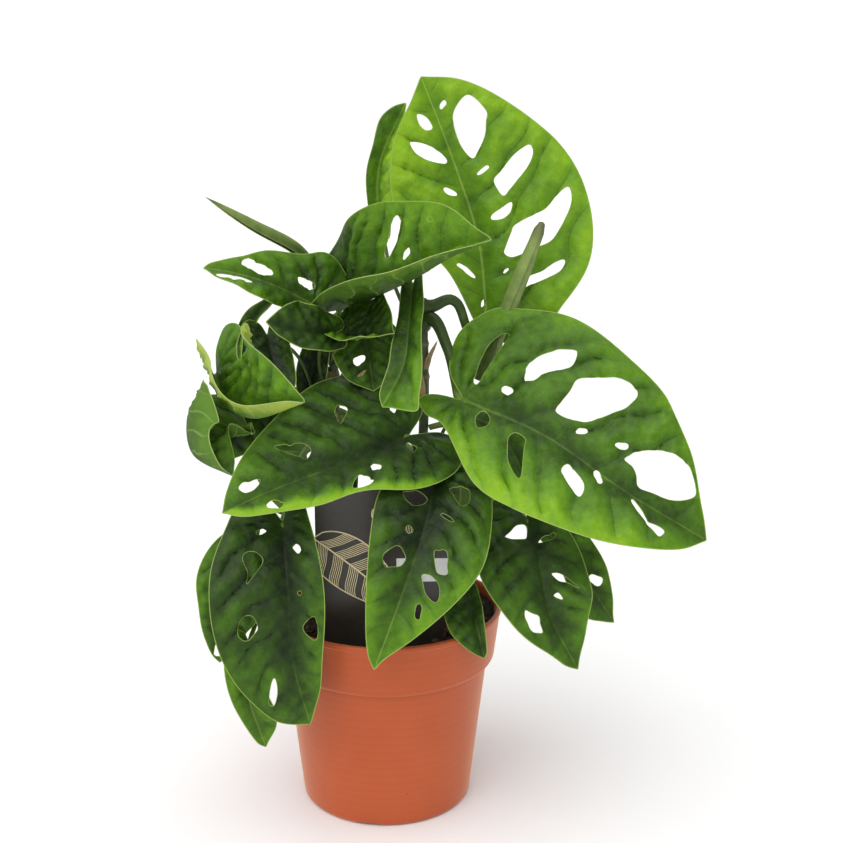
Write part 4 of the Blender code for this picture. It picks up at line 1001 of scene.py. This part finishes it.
class Wire:
    """A number or colour on its way through a material's nodes."""

    def __init__(self, material, socket):
        self.material, self.socket = material, socket

    def math(self, kind, *others, clamp=False):
        node = self.material.node("ShaderNodeMath", operation=kind, use_clamp=clamp)
        for socket, value in zip(node.inputs, (self, *others)):
            self.material.feed(socket, value)
        return Wire(self.material, node.outputs[0])

    def __add__(self, other):
        return self.math("ADD", other)

    def __mul__(self, other):
        return self.math("MULTIPLY", other)

    def fit(self, by, plus, clamp=False):
        """This times `by`, and `plus` added."""
        return self.math("MULTIPLY_ADD", by, plus, clamp=clamp)


class Material:
    """A procedural material: a Principled shader and the nodes that feed it."""

    def __init__(self, name, **values):
        self.made = bpy.data.materials.new(name)
        self.made.use_nodes = True
        self.shader = self.made.node_tree.nodes["Principled BSDF"]
        for key, value in values.items():
            self.feed(self.shader.inputs[key.replace("_", " ")], value)

    def feed(self, socket, value):
        """Links a wire to a socket, or sets the socket's own value."""
        if isinstance(value, Wire):
            self.made.node_tree.links.new(value.socket, socket)
        else:
            socket.default_value = (*value, 1) if isinstance(value, tuple) else value

    def node(self, kind, inputs=(), **settings):
        node = self.made.node_tree.nodes.new(kind)
        for key, value in settings.items():
            setattr(node, key, value)
        for key, value in dict(inputs).items():
            self.feed(node.inputs[key], value)
        return node

    def place(self):
        """Where a point of the surface is on the object, in metres."""
        return Wire(self, self.node("ShaderNodeTexCoord").outputs["Object"])

    def noise(self, scale, detail, rough):
        node = self.node("ShaderNodeTexNoise", dict(Scale=scale, Detail=detail, Roughness=rough,
                                                    Vector=self.place()))
        return Wire(self, node.outputs["Fac"])

    def cells(self, scale, feature):
        """Distance in a pattern of irregular cells."""
        node = self.node("ShaderNodeTexVoronoi", dict(Scale=scale, Vector=self.place()), feature=feature)
        return Wire(self, node.outputs["Distance"])

    def painted(self, name):
        """The four numbers painted on the mesh."""
        node = self.node("ShaderNodeVertexColor", layer_name=name)
        parts = self.node("ShaderNodeSeparateColor", dict(Color=Wire(self, node.outputs["Color"])))
        return [Wire(self, socket) for socket in (*parts.outputs, node.outputs["Alpha"])]

    def ramp(self, level, stops):
        node = self.node("ShaderNodeValToRGB", dict(Fac=level))
        elements = node.color_ramp.elements
        for i, (at, colour) in enumerate(stops):
            stop = elements[i] if i < len(elements) else elements.new(at)
            stop.position, stop.color = at, (*colour, 1)
        return Wire(self, node.outputs[0])

    def mix(self, factor, a, b):
        node = self.node("ShaderNodeMix", data_type="RGBA")
        for socket, value in ((0, factor), (6, a), (7, b)):
            self.feed(node.inputs[socket], value)
        return Wire(self, node.outputs[2])

    def fade(self, value, near, far):
        """1 up to near and 0 from far on."""
        node = self.node("ShaderNodeMapRange", {"Value": value, "From Min": near, "From Max": far,
                                                "To Min": 1.0, "To Max": 0.0}, interpolation_type="SMOOTHSTEP")
        return Wire(self, node.outputs["Result"])

    def vein_lines(self):
        """How much of the midrib, of a side vein and of the margin shows at a point."""
        midrib, beside, margin, seen = self.painted("veins")
        side = self.fade(beside.fit(2.0, -1.0).math("ABSOLUTE"), 0.03, 0.20) * seen
        return self.fade(midrib, 0.05, 0.16), side, self.fade(margin, 0.06, 0.14)

    def finish(self, colour, height=None, strength=0.0, distance=0.0):
        """Sets the colour and, with a height, the bump in metres."""
        self.feed(self.shader.inputs["Base Color"], colour)
        if height is not None:
            node = self.node("ShaderNodeBump", dict(Strength=strength, Distance=distance, Height=height))
            self.feed(self.shader.inputs["Normal"], Wire(self, node.outputs[0]))
        return self.made


LEAF_STOPS = [(0.0, (0.009, 0.019, 0.005)), (0.25, (0.029, 0.068, 0.007)), (0.5, (0.066, 0.162, 0.008)),
              (0.75, (0.128, 0.280, 0.010)), (1.0, (0.220, 0.405, 0.014))]
UNDER_STOPS = [(0.0, (0.038, 0.080, 0.012)), (0.5, (0.105, 0.215, 0.024)), (1.0, (0.48, 0.58, 0.10))]
ROLL_STOPS = [(0.15, (0.055, 0.10, 0.016)), (0.5, (0.13, 0.20, 0.035)), (0.9, (0.29, 0.37, 0.10))]
POT_STOPS = [(0.30, (0.43, 0.076, 0.018)), (0.70, (0.49, 0.095, 0.025))]

# Materials whose colour follows one noise: the shader's values, the noise, how much of the painted
# tone, of the noise and of a constant make the level, the colours along it, and the bump: its noise,
# strength and depth in metres
PLAIN = {
    "leaf_margin": (dict(Roughness=0.5), (300, 3, 0.6), (0, 1, 0),
                    [(0.3, (0.26, 0.38, 0.09)), (0.7, (0.42, 0.52, 0.17))], None),
    "leaf_stalk": (dict(Roughness=0.42, Specular_IOR_Level=0.28), (140, 5, 0.6), (1, 0.4, -0.2),
                   [(0.0, (0.016, 0.024, 0.008)), (0.45, (0.045, 0.085, 0.014)), (1.0, (0.19, 0.31, 0.055))],
                   ((700, 3, 0.5), 0.25, 0.0002)),
    "vine_stem": (dict(Roughness=0.6), (110, 6, 0.65), (1, 0.6, -0.3),
                  [(0.0, (0.022, 0.020, 0.010)), (0.4, (0.045, 0.065, 0.018)), (0.75, (0.11, 0.12, 0.04)),
                   (1.0, (0.23, 0.17, 0.08))], ((500, 5, 0.6), 0.5, 0.0005)),
    "dry_sheath": (dict(Roughness=0.75), (160, 6, 0.7), (0.4, 0.8, 0),
                   [(0.2, (0.10, 0.055, 0.022)), (0.55, (0.30, 0.21, 0.085)), (0.95, (0.52, 0.45, 0.24))],
                   ((420, 5, 0.6), 0.5, 0.0005)),
    "peat_mix": (dict(Roughness=0.95), (300, 6, 0.7), (0, 1, 0),
                 [(0.3, (0.010, 0.006, 0.004)), (0.55, (0.035, 0.020, 0.011)), (0.8, (0.085, 0.050, 0.026))],
                 ((900, 6, 0.7), 0.9, 0.0008)),
    "bark": (dict(Roughness=0.85), (350, 6, 0.7), (0.5, 0.5, 0),
             [(0.2, (0.030, 0.013, 0.007)), (0.5, (0.11, 0.042, 0.018)), (0.85, (0.24, 0.12, 0.055))],
             ((1050, 6, 0.7), 0.9, 0.0008)),
    "crumbs": (dict(Roughness=0.95), (400, 6, 0.7), (0.5, 0.5, 0),
               [(0.2, (0.012, 0.007, 0.005)), (0.6, (0.05, 0.026, 0.013)), (0.9, (0.14, 0.08, 0.04))],
               ((1200, 6, 0.7), 0.9, 0.0008)),
    "gold_print": (dict(Roughness=0.45), (400, 3, 0.6), (0, 1, 0),
                   [(0.3, (0.92, 0.74, 0.38)), (0.7, (1.0, 0.88, 0.58))], None),
    "label_paper": (dict(Roughness=0.6), (400, 3, 0.6), (0, 1, 0),
                    [(0.3, (0.97, 0.97, 0.97)), (0.7, (1.0, 1.0, 1.0))], None),
    "floor_white": (dict(Roughness=0.9, Specular_IOR_Level=0.1), (3, 2, 0.5), (0, 1, 0),
                    [(0.2, (0.88, 0.88, 0.88)), (0.8, (0.91, 0.91, 0.91))], None),
}


def plain(name):
    """One of the PLAIN materials."""
    shader, grain, (tone_share, grain_share, plus), stops, bump = PLAIN[name]
    m = Material(name, **shader)
    level = m.noise(*grain)
    if tone_share:
        level = m.painted("tone")[0] * tone_share + level.fit(grain_share, plus)
    colour = m.ramp(level, stops)
    if bump is None:
        return m.finish(colour)
    return m.finish(colour, m.noise(*bump[0]), *bump[1:])


def leaf_upper():
    m = Material("leaf_upper", Specular_IOR_Level=0.17)
    tone, dry = m.painted("tone")[:2]
    broad, patch, fine = m.noise(75, 4, 0.6), m.noise(230, 4, 0.65), m.noise(650, 3, 0.6)
    midrib, side, margin = m.vein_lines()
    # the level of painted light and shade from the blade's tone, with random patches of tone
    light = tone + broad.fit(0.28, -0.14) + patch.fit(0.30, -0.15) + fine.fit(0.14, -0.07)
    colour = m.ramp(light, LEAF_STOPS)
    colour = m.mix(side * 0.32, colour, (0.020, 0.055, 0.012))
    # the pale midrib shows more where the blade's painted light is brighter
    colour = m.mix(midrib * tone.fit(0.9, -0.13, clamp=True), colour, (0.31, 0.43, 0.09))
    colour = m.mix(margin * 0.8, colour, (0.30, 0.42, 0.085))
    colour = m.mix(dry, colour, (0.22, 0.12, 0.04))
    m.feed(m.shader.inputs["Roughness"], patch.fit(0.25, 0.28))
    pores = (m.cells(260, "DISTANCE_TO_EDGE") * 3.0).math("MINIMUM", 1.0)
    return m.finish(colour, pores * 0.6 + fine, 0.45, 0.0004)


def leaf_lower():
    m = Material("leaf_lower", Roughness=0.6, Specular_IOR_Level=0.14)
    tone, _, pale, _ = m.painted("tone")
    broad, fine = m.noise(80, 5, 0.6), m.noise(480, 3, 0.6)
    midrib, side, margin = m.vein_lines()
    # the underside's paleness, with the blade's painted light and shade added
    colour = m.ramp(broad.fit(0.3, -0.15) + pale + tone.fit(0.4, -0.2), UNDER_STOPS)
    colour = m.mix(midrib.math("MAXIMUM", side * 0.6) * 0.55, colour, (0.30, 0.42, 0.13))
    colour = m.mix(margin * 0.8, colour, (0.38, 0.50, 0.15))
    return m.finish(colour, fine + broad, 0.25, 0.0003)


def rolled_blade():
    m = Material("rolled_blade", Roughness=0.5)
    brown, along, _, _ = m.painted("tone")
    colour = m.ramp(along * 0.35 + m.noise(120, 5, 0.6) * 0.7, ROLL_STOPS)
    colour = m.mix(brown * 0.8, colour, (0.055, 0.050, 0.016))
    return m.finish(colour, m.noise(600, 3, 0.5), 0.3, 0.0003)


def pot_plastic():
    m = Material("terracotta_plastic", Specular_IOR_Level=0.3, Sheen_Weight=0.6, Sheen_Roughness=0.35,
                 Sheen_Tint=(1.0, 0.58, 0.34))
    broad = m.noise(14, 4, 0.6)
    parts = m.node("ShaderNodeSeparateXYZ", {0: m.place()})
    height = Wire(m, parts.outputs[2])
    # faint rings left by the mould, and specks of dirt low on the wall
    rings = (height * 1400.0).math("SINE").fit(0.02, 0.02)
    colour = m.mix(rings, m.ramp(broad, POT_STOPS), (0.66, 0.22, 0.10))
    specks = m.cells(130, "F1").math("LESS_THAN", 0.07) * m.noise(60, 2, 0.5).math("GREATER_THAN", 0.62)
    colour = m.mix(specks * height.math("LESS_THAN", 0.045) * 0.6, colour, (0.10, 0.04, 0.02))
    m.feed(m.shader.inputs["Roughness"], broad.fit(0.16, 0.34))
    return m.finish(colour, m.noise(700, 3, 0.6), 0.12, 0.0002)


def card_coated():
    m = Material("card_coated")
    level = m.noise(60, 4, 0.6)
    m.feed(m.shader.inputs["Roughness"], level.fit(0.15, 0.25))
    colour = m.ramp(level, [(0.3, (0.034, 0.029, 0.024)), (0.7, (0.056, 0.048, 0.040))])
    return m.finish(colour, m.noise(900, 2, 0.5), 0.08, 0.0002)


# ---------------------------------------------------------------- the object

def build_plant():
    leaf_mats = [leaf_upper(), leaf_lower(), plain("leaf_margin")]
    stalk, stem, sheath, roll = plain("leaf_stalk"), plain("vine_stem"), plain("dry_sheath"), rolled_blade()
    for i, spec in enumerate(LEAVES):
        blade = Blade(spec)
        build_blade(blade, 11 + i, leaf_mats)
        build_stalk(blade, stalk)
    for name, (radius, line) in STEMS.items():
        build_stem(name, radius, line, stem)
    for name, row in ROLLS.items():
        build_roll(name, *row, [roll, leaf_mats[2]])
    for i, row in enumerate(SHEATHS):
        build_sheath("sheath_%d" % (i + 1), 60 + i, *row, sheath)
    for i, row in enumerate(ROOTS):
        build_root("air_root_%d" % (i + 1), *row, sheath)


def build_studio():
    """A pale floor, a white background and five soft suns."""
    s = 6.0                         # half the floor's width
    mesh = bpy.data.meshes.new("floor")
    mesh.from_pydata([(-s, -s, 0), (s, -s, 0), (s, s, 0), (-s, s, 0)], [], [(0, 1, 2, 3)])
    mesh.materials.append(plain("floor_white"))
    place_object("floor", mesh)
    scene = bpy.context.scene
    scene.world = bpy.data.worlds.new("studio")
    scene.world.use_nodes = True
    nodes, link = scene.world.node_tree.nodes, scene.world.node_tree.links.new
    back, seen = nodes["Background"], nodes.new("ShaderNodeBackground")
    path, mix = nodes.new("ShaderNodeLightPath"), nodes.new("ShaderNodeMixShader")
    for node, strength in ((back, 0.38), (seen, 1.0)):
        node.inputs["Color"].default_value = (1, 1, 1, 1)
        node.inputs["Strength"].default_value = strength
    for i, output in enumerate((path.outputs["Is Camera Ray"], back.outputs[0], seen.outputs[0])):
        link(output, mix.inputs[i])
    link(mix.outputs[0], nodes["World Output"].inputs[0])
    for name, place, angle, strength in (("light_top", (-0.25, -0.35, 1.0), 70, 2.1),
                                         ("light_front", (-0.35, -1.0, 0.45), 70, 0.75),
                                         ("light_back", (0.3, 0.9, 0.7), 70, 0.7),
                                         ("light_left", (-1.0, 0.1, 0.35), 50, 0.30),
                                         ("light_right", (1.0, 0.1, 0.35), 50, 0.42)):
        data = bpy.data.lights.new(name, "SUN")
        data.angle, data.energy = math.radians(angle), strength
        lamp = place_object(name, data)
        lamp.location = place
        lamp.rotation_euler = Vector(place).to_track_quat("Z", "Y").to_euler()
    scene.view_settings.view_transform = "Standard"


def build_camera():
    data = bpy.data.cameras.new("camera")
    data.lens, data.sensor_width, data.clip_start = 60.0, 36.0, 0.01
    camera = place_object("camera", data)
    yaw, pitch, roll = math.radians(1.5), math.radians(14.6), math.radians(0.2)
    ahead = Vector((math.sin(yaw) * math.cos(pitch), math.cos(yaw) * math.cos(pitch), -math.sin(pitch)))
    right = Vector((math.cos(yaw), -math.sin(yaw), 0))
    up = right.cross(ahead)
    side = right * math.cos(roll) + up * math.sin(roll)
    top = up * math.cos(roll) - right * math.sin(roll)
    turn = Matrix((side, top, -ahead)).transposed()
    camera.matrix_world = Matrix.Translation((0, -0.688, 0.382)) @ turn.to_4x4()
    bpy.context.scene.camera = camera


build_studio()
build_camera()
build_plant()
build_pot(pot_plastic())
build_soil(plain("peat_mix"))
build_chips([plain("bark"), plain("crumbs")])
build_card(card_coated(), plain("gold_print"), plain("label_paper"))
bpy.context.view_layer.update()
